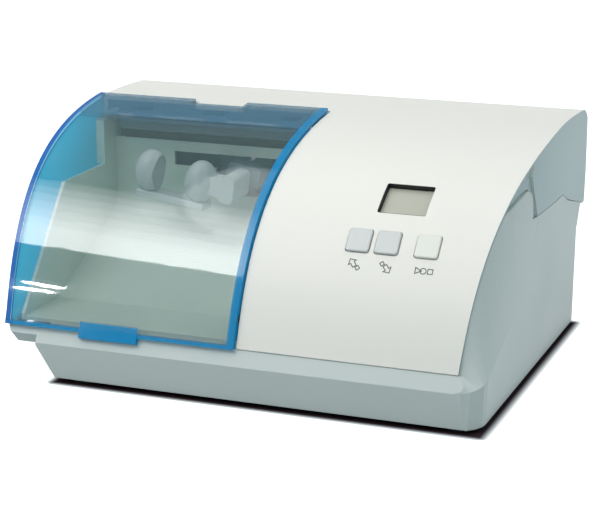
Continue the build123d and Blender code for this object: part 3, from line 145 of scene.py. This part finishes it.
# %% A socket that can be calculated with
class Wire:
    """One value of a material, used in formulas like a number."""

    def __init__(self, tree, socket):
        self.tree = tree
        self.socket = socket

    def maths(self, operation, other=None, flip=False):
        node = self.tree.nodes.new("ShaderNodeMath")
        node.operation = operation
        operands = [self] if other is None else [self, other]
        for slot, value in zip(node.inputs, reversed(operands) if flip else operands):
            plug(self.tree, slot, value)
        return Wire(self.tree, node.outputs[0])

    def __add__(self, other):
        return self.maths("ADD", other)

    def __radd__(self, other):
        return self.maths("ADD", other)

    def __sub__(self, other):
        return self.maths("SUBTRACT", other)

    def __rsub__(self, other):
        return self.maths("SUBTRACT", other, flip=True)

    def __mul__(self, other):
        return self.maths("MULTIPLY", other)

    def __rmul__(self, other):
        return self.maths("MULTIPLY", other)

    def __truediv__(self, other):
        return self.maths("DIVIDE", other)

    def __pow__(self, other):
        return self.maths("POWER", other)

    def __abs__(self):
        return self.maths("ABSOLUTE")

    def most(self, other):
        return self.maths("MAXIMUM", other)

    def clamp(self):
        return self.maths("MAXIMUM", 0.0).maths("MINIMUM", 1.0)

    def ramp(self, low, high):
        """From 0 at the low value to 1 at the high one, and level outside them."""
        return ((self - low) / (high - low)).clamp()


def plug(tree, slot, value):
    """Give a socket a link, or a plain value."""
    if isinstance(value, Wire):
        tree.links.new(value.socket, slot)
    elif isinstance(value, tuple) and len(value) == 3 and slot.type == "RGBA":
        slot.default_value = (*value, 1.0)
    else:
        slot.default_value = value


def srgb(red, green, blue):
    """A colour given as it is seen on a screen, from 0 to 255, as linear light."""
    seen = [channel / 255 for channel in (red, green, blue)]
    return tuple(c / 12.92 if c <= 0.04045 else ((c + 0.055) / 1.055) ** 2.4 for c in seen)


class Finish:
    """A material on the object's own coordinates, with constants set on the shader itself."""

    def __init__(self, name, colour, roughness, **constants):
        self.material = bpy.data.materials.new(name)
        self.material.use_nodes = True
        self.tree = self.material.node_tree
        self.shader = self.tree.nodes["Principled BSDF"]
        self.colour = colour
        self.roughness = roughness
        self.shader.inputs["Base Color"].default_value = (*colour, 1.0)
        self.shader.inputs["Roughness"].default_value = roughness
        for socket, value in constants.items():
            self.shader.inputs[socket.replace("_", " ")].default_value = value

    def add(self, kind, settings=None, inputs=None, out=0):
        node = self.tree.nodes.new(kind)
        for setting, value in (settings or {}).items():
            setattr(node, setting, value)
        for socket, value in (inputs or {}).items():
            plug(self.tree, node.inputs[socket], value)
        return Wire(self.tree, node.outputs[out])

    def place(self):
        """The object's own coordinates, in metres."""
        return self.add("ShaderNodeTexCoord", out="Object")

    def axis(self, letter):
        return self.add("ShaderNodeSeparateXYZ", inputs={"Vector": self.place()}, out=letter)

    def normal_axis(self, letter):
        facing = self.add("ShaderNodeTexCoord", out="Normal")
        return self.add("ShaderNodeSeparateXYZ", inputs={"Vector": facing}, out=letter)

    def noise(self, size, detail=3.0, stretch=(1.0, 1.0, 1.0)):
        """Cloudy noise, from about 0.3 to 0.7, with clouds of about the size given."""
        spot = self.add("ShaderNodeMapping", inputs={"Vector": self.place(), "Scale": stretch})
        return self.add("ShaderNodeTexNoise", inputs={"Vector": spot, "Scale": 1 / size, "Detail": detail})

    def tint(self, mask, other):
        """Blend the base colour towards another where the mask says so."""
        mix = self.tree.nodes.new("ShaderNodeMix")
        mix.data_type = "RGBA"
        plug(self.tree, mix.inputs["Factor"], mask)
        source = self.shader.inputs["Base Color"]
        if source.is_linked:
            self.tree.links.new(source.links[0].from_socket, mix.inputs[6])
        else:
            mix.inputs[6].default_value = (*self.colour, 1.0)
        mix.inputs[7].default_value = (*other, 1.0)
        self.tree.links.new(mix.outputs[2], source)
        return self

    def drive(self, socket, value):
        plug(self.tree, self.shader.inputs[socket], value)
        return self

    def bump(self, height, depth, round_edges=0.0):
        """Raise the surface by a height map, depth metres for a step from 0 to 1."""
        inputs = {"Height": height, "Distance": depth}
        if round_edges:
            inputs["Normal"] = self.add("ShaderNodeBevel", {"samples": 4}, {"Radius": round_edges})
        return self.drive("Normal", self.add("ShaderNodeBump", inputs=inputs))


# %% [markdown]
# ## Moulded plastic
#
# The housing is injection moulded and nearly smooth. Up close such plastic is never perfect: its
# surface has a faint ripple, called orange peel, its gloss drifts a little where hands have been,
# and its colour is not quite even. All three are low, wide noise, so they only show in reflections.
# Moulded edges are never sharp either: a bevel node lets the light run round each edge. Metal is
# made the same way, with its noise stretched into brush marks.

# %% Moulded plastic and metal
CLOUD_SIZE = 0.06
CLOUD_SHADE = 0.93
GLOSS_DRIFT = 0.4
PEEL_DEPTH = 0.00002
PEEL_SIZE = 0.0016
MOULDED_EDGE = 0.0005
BRUSH_SIZE = 0.0012
BRUSH_DEPTH = 0.00001
METAL_EDGE = 0.0002


def moulded(name, colour, roughness, ripple=PEEL_DEPTH, ripple_size=PEEL_SIZE, edge=MOULDED_EDGE,
            **constants):
    finish = Finish(name, colour, roughness, **constants)
    broad = finish.noise(CLOUD_SIZE, 2.0)
    fine = finish.noise(ripple_size, 2.0)
    finish.drive("Roughness", roughness * 0.9 + roughness * GLOSS_DRIFT * (broad - 0.5) + 0.02)
    finish.tint((broad - 0.42).clamp() * 0.35, tuple(c * CLOUD_SHADE for c in colour))
    return finish.bump(fine, ripple, edge)


def metal(name, colour, roughness, brush=(1.0, 1.0, 1.0)):
    finish = Finish(name, colour, roughness, Metallic=1.0)
    streaks = finish.noise(BRUSH_SIZE, 3.0, brush)
    finish.drive("Roughness", roughness * 0.8 + roughness * 0.5 * streaks)
    return finish.bump(streaks, BRUSH_DEPTH, METAL_EDGE)


# %% [markdown]
# ## One finish for each material
#
# The record names a material for every piece, and the finishes carry the same names. The casing is a
# cooler white than the cover. The cover's right cheek, which turns away from the lamps and picks up
# the colour of the room, gets painted shade: a mask on the surface's own direction blends in a darker,
# cooler grey where the cover faces right.

# %% Finishes of plastic, metal and boards
COVER_WHITE = srgb(236, 233, 226)
CHEEK_PAINTED_SHADE = srgb(160, 181, 182)
CHEEK_TURN = (0.6, 0.95)
CASING_WHITE = srgb(200, 208, 205)
TRAY_WHITE = srgb(216, 233, 222)
BLACK_GRAIN = {"ripple": 0.00004, "ripple_size": 0.0006}
RUBBER_GRAIN = {"ripple": 0.00005, "ripple_size": 0.0008}

finishes = {
    "cover_plastic": moulded("cover_plastic", COVER_WHITE, 0.36, Specular_IOR_Level=0.2),
    "casing_plastic": moulded("casing_plastic", CASING_WHITE, 0.38, Specular_IOR_Level=0.15),
    "tray_plastic": moulded("tray_plastic", TRAY_WHITE, 0.22, Coat_Weight=0.4, Coat_Roughness=0.08),
    "key_grey": moulded("key_grey", srgb(205, 208, 206), 0.35),
    "key_white": moulded("key_white", srgb(226, 227, 218), 0.35),
    "fork_plastic": moulded("fork_plastic", srgb(226, 236, 236), 0.2, Coat_Weight=0.3),
    # The arm's blue grey is painted shade: the arm sits in the shadow of the slot behind the fork.
    "arm_plastic": moulded("arm_plastic", srgb(120, 142, 152), 0.4),
    "black_plastic": moulded("black_plastic", srgb(28, 28, 30), 0.45, **BLACK_GRAIN),
    "foot_rubber": moulded("foot_rubber", srgb(32, 32, 33), 0.75, **RUBBER_GRAIN),
    "board": moulded("board", srgb(36, 96, 58), 0.35),
    "ribbon": moulded("ribbon", srgb(190, 190, 194), 0.5),
    "capacitor": moulded("capacitor", srgb(34, 42, 62), 0.35),
    "terminal": moulded("terminal", srgb(58, 128, 78), 0.45),
    "lead": moulded("lead", srgb(170, 40, 34), 0.45),
    "bracket_steel": moulded("bracket_steel", srgb(104, 108, 112), 0.5),
    "screw_steel": metal("screw_steel", srgb(196, 197, 200), 0.32),
    "rod_steel": metal("rod_steel", srgb(206, 207, 210), 0.22, (1.0, 12.0, 12.0)),
    "magnet": metal("magnet", srgb(86, 87, 90), 0.5),
    "motor_steel": metal("motor_steel", srgb(172, 174, 178), 0.34, (1.0, 6.0, 6.0)),
    "cast_end": metal("cast_end", srgb(186, 188, 190), 0.45),
    "bush_brass": metal("bush_brass", srgb(206, 170, 100), 0.35),
    "copper": metal("copper", srgb(214, 150, 110), 0.3),
    "hub_metal": metal("hub_metal", srgb(200, 202, 205), 0.3),
}

cover = finishes["cover_plastic"]
# Painted shade: where the cover faces right it turns a darker blue grey.
cover.tint(cover.normal_axis("X").ramp(*CHEEK_TURN), CHEEK_PAINTED_SHADE)
print("plain finishes:", len(finishes))

# %% [markdown]
# ## The clear lid
#
# Tinted acrylic looks almost colourless through its thickness and deep blue along its edges, because
# light that enters an edge has travelled through the whole sheet. The surface of the lid is therefore
# made thin and pale where it is seen face on, and dense and blue in bands: the rim beside the
# cover, the front edge of the left end wall, the bottom edge and the finger tab. The end wall is
# seen through the front at a slant, so it is denser too. The end wall and the edges also get a
# painted glow: a little emission stands in for the light that they gather. A strip over the hinge is
# denser and greyer: painted shade for the dark space behind the top of the lid. Each band is a mask
# in millimetres, and the pane keeps its clear coat, which mirrors the lamp, only where no band lies.

# %% Bands of the lid
SIDEWAYS = (0.5, 0.75)
END_WALL_BAND = (3.0, 5.0)
CORNER_BAND = (2.6, 3.2)
BLUSH_BAND = (2.0, 26.0)
RIM_BAND = (0.4, 0.9)
FOOT_BAND = (30.9, 31.3)
HINGE_BAND = (104.0, 105.5)
TAB_MIDDLE = -65.45
TAB_WIDTH = 33.0
TAB_ROOT = 3.4
TAB_BLUR = 0.4


def lid_bands(finish):
    """Masks, from 0 to 1, of the places where the lid is not clear."""
    x, y, z = finish.axis("X") / MM, finish.axis("Y") / MM + HALF_DEPTH, finish.axis("Z") / MM
    spread = ((FLARE_END - y) / (FLARE_END - FRONT_CURVE[0][0])).clamp()
    from_left = x + HALF_WIDTH - LEFT_FLARE * spread * spread
    aside = finish.normal_axis("X")
    end_wall = (0.0 - aside).ramp(*SIDEWAYS).most(aside.ramp(*SIDEWAYS))
    end_wall = end_wall * (1.0 - from_left.ramp(*END_WALL_BAND))
    beyond_tab = (abs(x - TAB_MIDDLE) - TAB_WIDTH / 2).most(y - TAB_ROOT)
    tab = 1.0 - beyond_tab.ramp(0.0, TAB_BLUR)
    return {
        "end_wall": end_wall,
        "blush": 1.0 - from_left.ramp(*BLUSH_BAND),
        "corner": (1.0 - from_left.ramp(*CORNER_BAND)) * (1.0 - end_wall),
        "hinge": y.ramp(*HINGE_BAND) * (1.0 - end_wall),
        "edges": x.ramp(*RIM_BAND).most(1.0 - z.ramp(*FOOT_BAND)).most(tab),
    }


# %% Lid
LID_TINT = srgb(44, 96, 98)
END_WALL_BLUE = srgb(0, 178, 224)
RIM_BLUE = srgb(0, 122, 178)
CORNER_BLUE = srgb(16, 84, 168)
HINGE_SHADE_GREY = srgb(84, 132, 158)
BLUSH_SHARE = 0.8
CORNER_GLOW = 0.35
WALL_GLOW = {"Green": 0.2, "Blue": 0.25}
EDGE_GLOW = {"Green": 0.05, "Blue": 0.08}
PANE_ALPHA = 0.165
PANE_SLANT = 0.3
BAND_ALPHA = {"end_wall": 0.85, "hinge": 0.55, "edges": 0.85, "corner": 0.92}
GLOSS_LOSS = 0.92


def clear_plastic():
    """The lid: pale and clear over the chamber, dense blue along its edges."""
    finish = Finish("lid_plastic", LID_TINT, 0.12, Specular_IOR_Level=0.2, Coat_IOR=4.0,
                    Coat_Roughness=0.035, Emission_Strength=1.0)
    bands = lid_bands(finish)
    finish.tint(bands["blush"] * BLUSH_SHARE, END_WALL_BLUE)
    finish.tint(bands["end_wall"], END_WALL_BLUE)
    # Painted shade: the strip over the hinge turns greyer, for the dark space behind the lid's top.
    finish.tint(bands["hinge"], HINGE_SHADE_GREY)
    finish.tint(bands["edges"], RIM_BLUE)
    finish.tint(bands["corner"], CORNER_BLUE)
    # Painted glow: a little emission on the end wall and the edges stands in for the light they gather.
    trim = bands["edges"].most(bands["corner"] * CORNER_GLOW)
    glow = {c: bands["end_wall"] * WALL_GLOW[c] + trim * EDGE_GLOW[c] for c in WALL_GLOW}
    glow["Red"] = 0.0
    finish.drive("Emission Color", finish.add("ShaderNodeCombineColor", inputs=glow))
    facing = finish.add("ShaderNodeLayerWeight", inputs={"Blend": 0.3}, out="Facing")
    alpha = (facing * PANE_SLANT + PANE_ALPHA).clamp()
    banded = bands["edges"]
    for name, density in BAND_ALPHA.items():
        alpha = alpha.most(bands[name] * density)
        banded = banded.most(bands[name])
    finish.drive("Alpha", alpha)
    return finish.drive("Coat Weight", 1.0 - banded * GLOSS_LOSS)


finishes["lid_plastic"] = clear_plastic()
print("lid bands:", ", ".join(BAND_ALPHA))

# %% [markdown]
# ## The display, and a finish for every solid
#
# A display that is off is a plain grey-green field behind a dull window. With these two the set of
# finishes is complete, and each solid gets the one that the record names for it.

# %% Display
WINDOW_TINT = srgb(206, 206, 190)
CRYSTAL_GREY = srgb(190, 191, 176)
CRYSTAL_GRAIN = 0.0006


def lens():
    return Finish("lens_clear", WINDOW_TINT, 0.3, Alpha=0.75, Coat_Weight=0.3, Coat_Roughness=0.05)


def lcd():
    finish = Finish("lcd_panel", CRYSTAL_GREY, 0.35)
    return finish.bump(finish.noise(CRYSTAL_GRAIN, 2.0), 0.00001)


finishes["lens_clear"] = lens()
finishes["lcd_panel"] = lcd()

for part in frame["record"]["subparts"]:
    node = nodes[part["node"]]
    node.data.materials.clear()
    node.data.materials.append(finishes[part["material_slot"]].material)
print("finishes:", len(finishes))

# %% [markdown]
# ## Turning points into pieces
#
# Small flat parts are easiest to make from points and faces in a bmesh. Three helpers are shared by
# all of them: one joins two loops of points with a ring of quads, one gives an open sheet a
# thickness, and one turns the result into an object that rides on a body of the mixer.


# %% Helpers for meshes
def join_loops(mesh, first, second):
    """Close the gap between two loops of as many points with quads."""
    for k in range(len(first)):
        after = (k + 1) % len(first)
        mesh.faces.new((first[k], first[after], second[after], second[k]))


def thicken(mesh, depth):
    """Give an open sheet of faces a thickness."""
    bmesh.ops.recalc_face_normals(mesh, faces=mesh.faces[:])
    bmesh.ops.solidify(mesh, geom=mesh.faces[:], thickness=depth)


def add_piece(name, mesh, finish, body="housing"):
    """Turn a bmesh into an object that rides on a body of the mixer."""
    data = bpy.data.meshes.new(name)
    bmesh.ops.recalc_face_normals(mesh, faces=mesh.faces[:])
    mesh.to_mesh(data)
    mesh.free()
    data.materials.append(finish.material)
    piece = bpy.data.objects.new(name, data)
    scene.collection.objects.link(piece)
    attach(piece, body)
    print(name, "with", len(data.polygons), "faces")
    return piece


def rounded_rectangle(half_x, half_y, radius, steps):
    """Points round a rectangle with arcs at its corners."""
    points = []
    for quarter, (sx, sy) in enumerate(((1, 1), (-1, 1), (-1, -1), (1, -1))):
        for k in range(steps + 1):
            turn = math.radians(90 * quarter + 90 * k / steps)
            points.append((sx * (half_x - radius) + radius * math.cos(turn),
                           sy * (half_y - radius) + radius * math.sin(turn)))
    return points


finishes["print_grey"] = moulded("print_grey", srgb(88, 92, 92), 0.5, edge=0.0)
finishes["window_black"] = moulded("window_black", srgb(12, 12, 13), 0.6, edge=0.0)
# The strip over the hinge is painted a dark blue grey: painted shade for the dark space behind it.
finishes["shade_blue"] = moulded("shade_blue", srgb(98, 122, 140), 0.35, Coat_Weight=0.3)
print("finishes with those of the added pieces:", len(finishes))

# %% [markdown]
# ## Symbols under the keys
#
# Three symbols are printed under the keys: an arrow up and an arrow down, each with a small square,
# and a triangle, a ring and a square. Each print is a ribbon of small quads laid on the curved
# front, a few hundredths of a millimetre proud of it. A stroke follows a list of points and mitres
# its corners, as a pen with a square nib would.

# %% Symbols
PRINT_WIDTH = 0.5
PRINT_HEIGHT = 0.04
PRINT_STEP = 0.6
SHARPEST_MITRE = 0.4
ARROW = [(0, 3.0), (2.5, 0.5), (1.15, 0.5), (1.15, -2.2), (-1.15, -2.2), (-1.15, 0.5), (-2.5, 0.5)]
SQUARE = [(-0.9, -0.9), (0.9, -0.9), (0.9, 0.9), (-0.9, 0.9)]
TRIANGLE = [(-1.5, -1.6), (1.7, 0), (-1.5, 1.6)]
ARROW_TURN = 38


def ring(radius, count=20):
    turns = [2 * math.pi * k / count for k in range(count)]
    return [(radius * math.cos(t), radius * math.sin(t)) for t in turns]


def moved(points, across, up, turn=0.0, scale=1.0):
    """The points of a symbol turned by degrees, scaled and shifted."""
    c, s = math.cos(math.radians(turn)), math.sin(math.radians(turn))
    return [(across + scale * (x * c - y * s), up + scale * (x * s + y * c)) for x, y in points]


def divided(points):
    """A closed outline with points added, so that no run is longer than a print step."""
    fine = []
    for (ax, ay), (bx, by) in zip(points, points[1:] + points[:1]):
        parts = max(1, round(math.hypot(bx - ax, by - ay) / PRINT_STEP))
        fine += [(ax + (bx - ax) * k / parts, ay + (by - ay) * k / parts) for k in range(parts)]
    return fine


def stroke(mesh, outline, spot):
    """Add one closed printed line to a mesh, with spot giving each point's place."""
    points = divided(outline)
    inner, outer = [], []
    for k, (x, y) in enumerate(points):
        ax, ay = points[k - 1]
        bx, by = points[(k + 1) % len(points)]
        before = Vector((x - ax, y - ay)).normalized()
        after = Vector((bx - x, by - y)).normalized()
        aside = Vector((-before.y - after.y, before.x + after.x)).normalized()
        reach = PRINT_WIDTH / 2 / max(SHARPEST_MITRE, aside.dot(Vector((-after.y, after.x))))
        inner.append(mesh.verts.new(spot(x + aside.x * reach, y + aside.y * reach)))
        outer.append(mesh.verts.new(spot(x - aside.x * reach, y - aside.y * reach)))
    join_loops(mesh, outer, inner)


def add_symbol(name, outlines):
    mesh = bmesh.new()
    for outline in outlines:
        stroke(mesh, outline, lambda x, y: on_front(SYMBOLS_X[name] + x, SYMBOLS_AT, y, PRINT_HEIGHT))
    thicken(mesh, PRINT_HEIGHT * 0.8 * MM)
    return add_piece("symbol_" + name, mesh, finishes["print_grey"])


add_symbol("up", [moved(ARROW, -0.9, 0.6, ARROW_TURN, 0.9), moved(SQUARE, 1.9, -1.7, ARROW_TURN)])
add_symbol("down", [moved(ARROW, 0.9, -0.6, ARROW_TURN + 180, 0.9),
                    moved(SQUARE, -1.9, 1.7, ARROW_TURN)])
add_symbol("start", [moved(TRIANGLE, -2.6, 0), ring(1.5), moved(SQUARE, 3.6, 0, 0, 1.4)])

# %% [markdown]
# ## Lining of the display's window
#
# A black lining covers the walls of the opening, from just under the surface down to the window,
# where a narrow lip turns inwards. It is three loops of points, one below the other.

# %% Window lining
LINING_GAP = 0.05
LINING_START = 0.35
LINING_LIP = 0.3
LINING_CORNER = 1.0


def add_window_frame():
    """A black lining inside the display's window, from just under the surface down to the lens."""
    mesh = bmesh.new()
    half_x, half_y = DISPLAY_SIZE[0] / 2, DISPLAY_SIZE[1] / 2
    speed = math.hypot(*front_point(DISPLAY_AT)[1])
    (y, z), (dy, dz) = front_point(DISPLAY_AT)
    middle = place(DISPLAY_X, y, z)
    across = Vector((1, 0, 0))
    along = Vector((0, dy, dz)) / speed
    out = Vector((0, -dz, dy)) / speed
    corners = rounded_rectangle(half_x - LINING_GAP, half_y - LINING_GAP, LINING_CORNER, 5)
    loops = []
    for inset, depth in ((0.0, LINING_START), (0.0, WINDOW_DEPTH), (LINING_LIP, WINDOW_DEPTH)):
        by_x, by_y = (half_x - inset) / half_x, (half_y - inset) / half_y
        loops.append([mesh.verts.new(middle + (across * u * by_x + along * v * by_y - out * depth) * MM)
                      for u, v in corners])
    for upper, lower in zip(loops, loops[1:]):
        join_loops(mesh, upper, lower)
    return add_piece("window_frame", mesh, finishes["window_black"])


add_window_frame()

# %% [markdown]
# ## Dark parts at the back of the chamber
#
# Behind the top of the lid a curved strip hides the hinge rod. It hangs between the two side walls of
# the chamber, ahead of the rod, and stays put when the lid turns; its dark blue grey is painted shade
# for the dark space behind the top of the lid. Below it a black strip lies on top of the rear wall,
# and a black plate closes the empty end of the slot that the fork's arm comes through. Both are
# painted shade: black pieces put where the gap and the slot lie in deep shadow, so that no light
# from inside shows there.

# %% Shade, shadow strip and shadow plate
SHADE_LEFT = -111.5
SHADE_RIGHT = -5.0
SHADE_PROFILE = [(117.8, 111.4), (116.2, 112.6), (115.2, 114.4), (114.6, 116.4), (114.6, 117.6)]
SHADE_WALL = 1.2
SHADOW_STRIP_AT = (120.9, 108.6)
SHADOW_STRIP_SIZE = (1.8, 7.0)
SHADOW_STRIP_CORNER = 0.5
SHADOW_PLATE_X = (-84.0, -54.0)
SHADOW_PLATE_Y = (124.0, 125.0)
SHADOW_PLATE_Z = (88.0, 102.0)
BOX_FACES = ((0, 1, 3, 2), (4, 5, 7, 6), (0, 1, 5, 4), (2, 3, 7, 6), (0, 2, 6, 4), (1, 3, 7, 5))


def add_hinge_shade():
    """The curved strip ahead of the hinge rod."""
    mesh = bmesh.new()
    left, right = ([mesh.verts.new(place(x, y, z)) for y, z in SHADE_PROFILE]
                   for x in (SHADE_LEFT, SHADE_RIGHT))
    for k in range(len(SHADE_PROFILE) - 1):
        mesh.faces.new((left[k], right[k], right[k + 1], left[k + 1]))
    thicken(mesh, SHADE_WALL * MM)
    return add_piece("hinge_shade", mesh, finishes["shade_blue"])


def add_shadow_strip():
    """A black strip on top of the chamber's rear wall, behind the shade's lower edge: painted shade."""
    mesh = bmesh.new()
    corners = rounded_rectangle(SHADOW_STRIP_SIZE[0] / 2, SHADOW_STRIP_SIZE[1] / 2, SHADOW_STRIP_CORNER, 3)
    ends = []
    for x in (SHADE_LEFT, SHADE_RIGHT):
        ends.append([mesh.verts.new(place(x, SHADOW_STRIP_AT[0] + u, SHADOW_STRIP_AT[1] + v)) for u, v in corners])
        mesh.faces.new(ends[-1])
    join_loops(mesh, *ends)
    return add_piece("shadow_strip", mesh, finishes["window_black"])


def add_slot_shadow_plate():
    """A black plate behind the empty end of the slot that the fork's arm comes through: painted shade."""
    mesh = bmesh.new()
    sides = [[place(x, y, z) for x in SHADOW_PLATE_X for z in SHADOW_PLATE_Z] for y in SHADOW_PLATE_Y]
    verts = [mesh.verts.new(spot) for side in sides for spot in side]
    for quad in BOX_FACES:
        mesh.faces.new([verts[k] for k in quad])
    return add_piece("slot_shadow_plate", mesh, finishes["window_black"])


add_hinge_shade()
add_shadow_strip()
add_slot_shadow_plate()

# %% [markdown]
# ## The table
#
# The table is white to the camera, and to the rays that a glossy or clear surface sends on, but only
# mid grey to the light that bounces off it, as a table lit separately would be. A painted contact
# shadow darkens it in a narrow band where the casing stands close to it. The painted shadow's mask is
# the distance from a rectangle, the casing's footprint in millimetres.

# %% Table
FLOOR_SIZE = 6.0
FLOOR_BOUNCE = (0.36, 0.42, 0.44)
CONTACT_SHADOW_COLOUR = (0.035, 0.022, 0.026)
CONTACT_SHADOW_WIDTH = 5.0
FOOTPRINT = ((-97.5, 133.6), (-102.6, 95.2))
SEEING_RAYS = ("Camera", "Glossy", "Transmission")


def seen_directly(path_output):
    """1 for the camera's own rays and for those that a glossy or clear surface sends on."""
    camera_ray, glossy_ray, clear_ray = (path_output(f"Is {kind} Ray") for kind in SEEING_RAYS)
    return (camera_ray + glossy_ray + clear_ray).clamp()


def from_footprint(finish):
    """Distance of a point of the table from the casing's underside, in millimetres."""
    away = 0.0
    for letter, (low, high) in zip("XY", FOOTPRINT):
        beside = abs(finish.axis(letter) / MM - (low + high) / 2) - (high - low) / 2
        away = beside.most(0.0) ** 2.0 + away
    return away**0.5


def add_floor():
    finish = Finish("table", FLOOR_BOUNCE, 0.9, Specular_IOR_Level=0.0, Emission_Strength=1.0)
    # Painted contact shadow: the table turns dark near the casing's footprint and fades out beyond it.
    open_table = (from_footprint(finish) / CONTACT_SHADOW_WIDTH).clamp()
    seen = seen_directly(lambda name: finish.add("ShaderNodeLightPath", out=name))
    finish.tint(1.0 - open_table, CONTACT_SHADOW_COLOUR)
    lit = seen * open_table * open_table
    glow = finish.add("ShaderNodeCombineColor", inputs={c: lit for c in ("Red", "Green", "Blue")})
    finish.drive("Emission Color", glow)
    mesh = bpy.data.meshes.new("table")
    half = FLOOR_SIZE / 2
    corners = [(-half, -half, 0), (half, -half, 0), (half, half, 0), (-half, half, 0)]
    mesh.from_pydata(corners, [], [(0, 1, 2, 3)])
    mesh.materials.append(finish.material)
    floor = bpy.data.objects.new("table", mesh)
    scene.collection.objects.link(floor)


add_floor()
print("table of", FLOOR_SIZE, "metres")

# %% [markdown]
# ## Lamps
#
# A wide soft lamp stands to the left in front and draws a bright band across the lid, which has a
# sharp lower edge and fades upwards. The lamp is brightest in its lower part, so it is built
# from lamps of growing height that share their lower edge: each adds its light to the ones behind
# it. A weaker lamp hangs overhead, and a cool one fills the right side. Two very small lamps low on
# the left leave two short sparks on the lid.

# %% Lamps
LAMP_DISTANCE = 1.3
LAMP_AIM = (0.0, 0.0, 0.06)
SOFTBOX_SIDE = -36.0
SOFTBOX_FOOT = 37.1
SOFTBOX_WIDTH = 1.3
SOFTBOX_HEIGHTS = (0.2, 0.29, 0.38, 0.47, 0.56, 0.65, 0.74)
SOFTBOX_OUTPUT = 2.15
WHITE_LIGHT = (1.0, 1.0, 1.0)
COOL_LIGHT = (0.86, 0.97, 1.0)
SPARK_SIDE = -31.1
SPARK_ELEVATIONS = (23.9, 26.1)
SPARK_SIZE = (0.045, 0.009)
SPARK_POWER = 0.16
SPARK_AIM = (-0.11, -0.093, 0.049)


def add_lamp(name, angles, size, power, distance=LAMP_DISTANCE, aim=LAMP_AIM, colour=WHITE_LIGHT):
    """A rectangular soft lamp, placed by its angles in degrees, that faces a point on the object."""
    data = bpy.data.lights.new(name, "AREA")
    data.shape = "RECTANGLE"
    data.size, data.size_y = size
    data.energy = power
    data.color = colour
    lamp = bpy.data.objects.new(name, data)
    away = towards(*(math.radians(angle) for angle in angles))
    turn = away.to_track_quat("Z", "Y").to_matrix().to_4x4()
    lamp.matrix_world = Matrix.Translation(Vector(aim) + away * distance) @ turn
    scene.collection.objects.link(lamp)
    print(name, "at", [round(c, 3) for c in lamp.matrix_world.translation])


for height in SOFTBOX_HEIGHTS:
    elevation = SOFTBOX_FOOT + math.degrees(math.atan2(height / 2, LAMP_DISTANCE))
    power = SOFTBOX_OUTPUT * SOFTBOX_WIDTH * height
    add_lamp(f"softbox_{round(height * 100)}", (SOFTBOX_SIDE, elevation), (SOFTBOX_WIDTH, height), power)
add_lamp("overhead_softbox", (0, 86), (1.2, 1.2), 4.6)
add_lamp("side_fill", (88, 30), (1.0, 1.0), 3.8, distance=1.4, colour=COOL_LIGHT)
for elevation in SPARK_ELEVATIONS:
    add_lamp(f"spark_{round(elevation)}", (SPARK_SIDE, elevation), SPARK_SIZE, SPARK_POWER, aim=SPARK_AIM)

# %% [markdown]
# ## The room
#
# Near the horizon hangs a white backdrop, seen by the camera and in reflections. Above it the room
# is dim and slightly blue, and that dim light is also all that the object receives from the room,
# so the white backdrop does not wash out its colours.

# %% Room
SKY_TINT = (0.86, 0.97, 1.0)
SKY_LEVEL = 0.38
BACKDROP_TOP = (0.1, 0.35)


def backdrop_below(tree):
    """1 near the horizon, where the white backdrop hangs, and 0 in the dim room above it."""
    spot = tree.nodes.new("ShaderNodeTexCoord")
    split = tree.nodes.new("ShaderNodeSeparateXYZ")
    tree.links.new(spot.outputs["Generated"], split.inputs[0])
    return 1.0 - Wire(tree, split.outputs["Z"]).ramp(*BACKDROP_TOP)


def add_world():
    world = bpy.data.worlds.new("studio")
    world.use_nodes = True
    tree = world.node_tree
    room = tree.nodes["Background"]
    room.inputs["Color"].default_value = (*SKY_TINT, 1.0)
    room.inputs["Strength"].default_value = SKY_LEVEL
    white = tree.nodes.new("ShaderNodeBackground")
    white.inputs["Color"].default_value = (*WHITE_LIGHT, 1.0)
    path = tree.nodes.new("ShaderNodeLightPath")
    seen = seen_directly(lambda name: Wire(tree, path.outputs[name]))
    mix = tree.nodes.new("ShaderNodeMixShader")
    plug(tree, mix.inputs[0], seen * backdrop_below(tree))
    tree.links.new(room.outputs[0], mix.inputs[1])
    tree.links.new(white.outputs[0], mix.inputs[2])
    tree.links.new(mix.outputs[0], tree.nodes["World Output"].inputs["Surface"])
    scene.world = world


add_world()
scene.view_settings.view_transform = "Standard"
print("room light:", SKY_LEVEL)
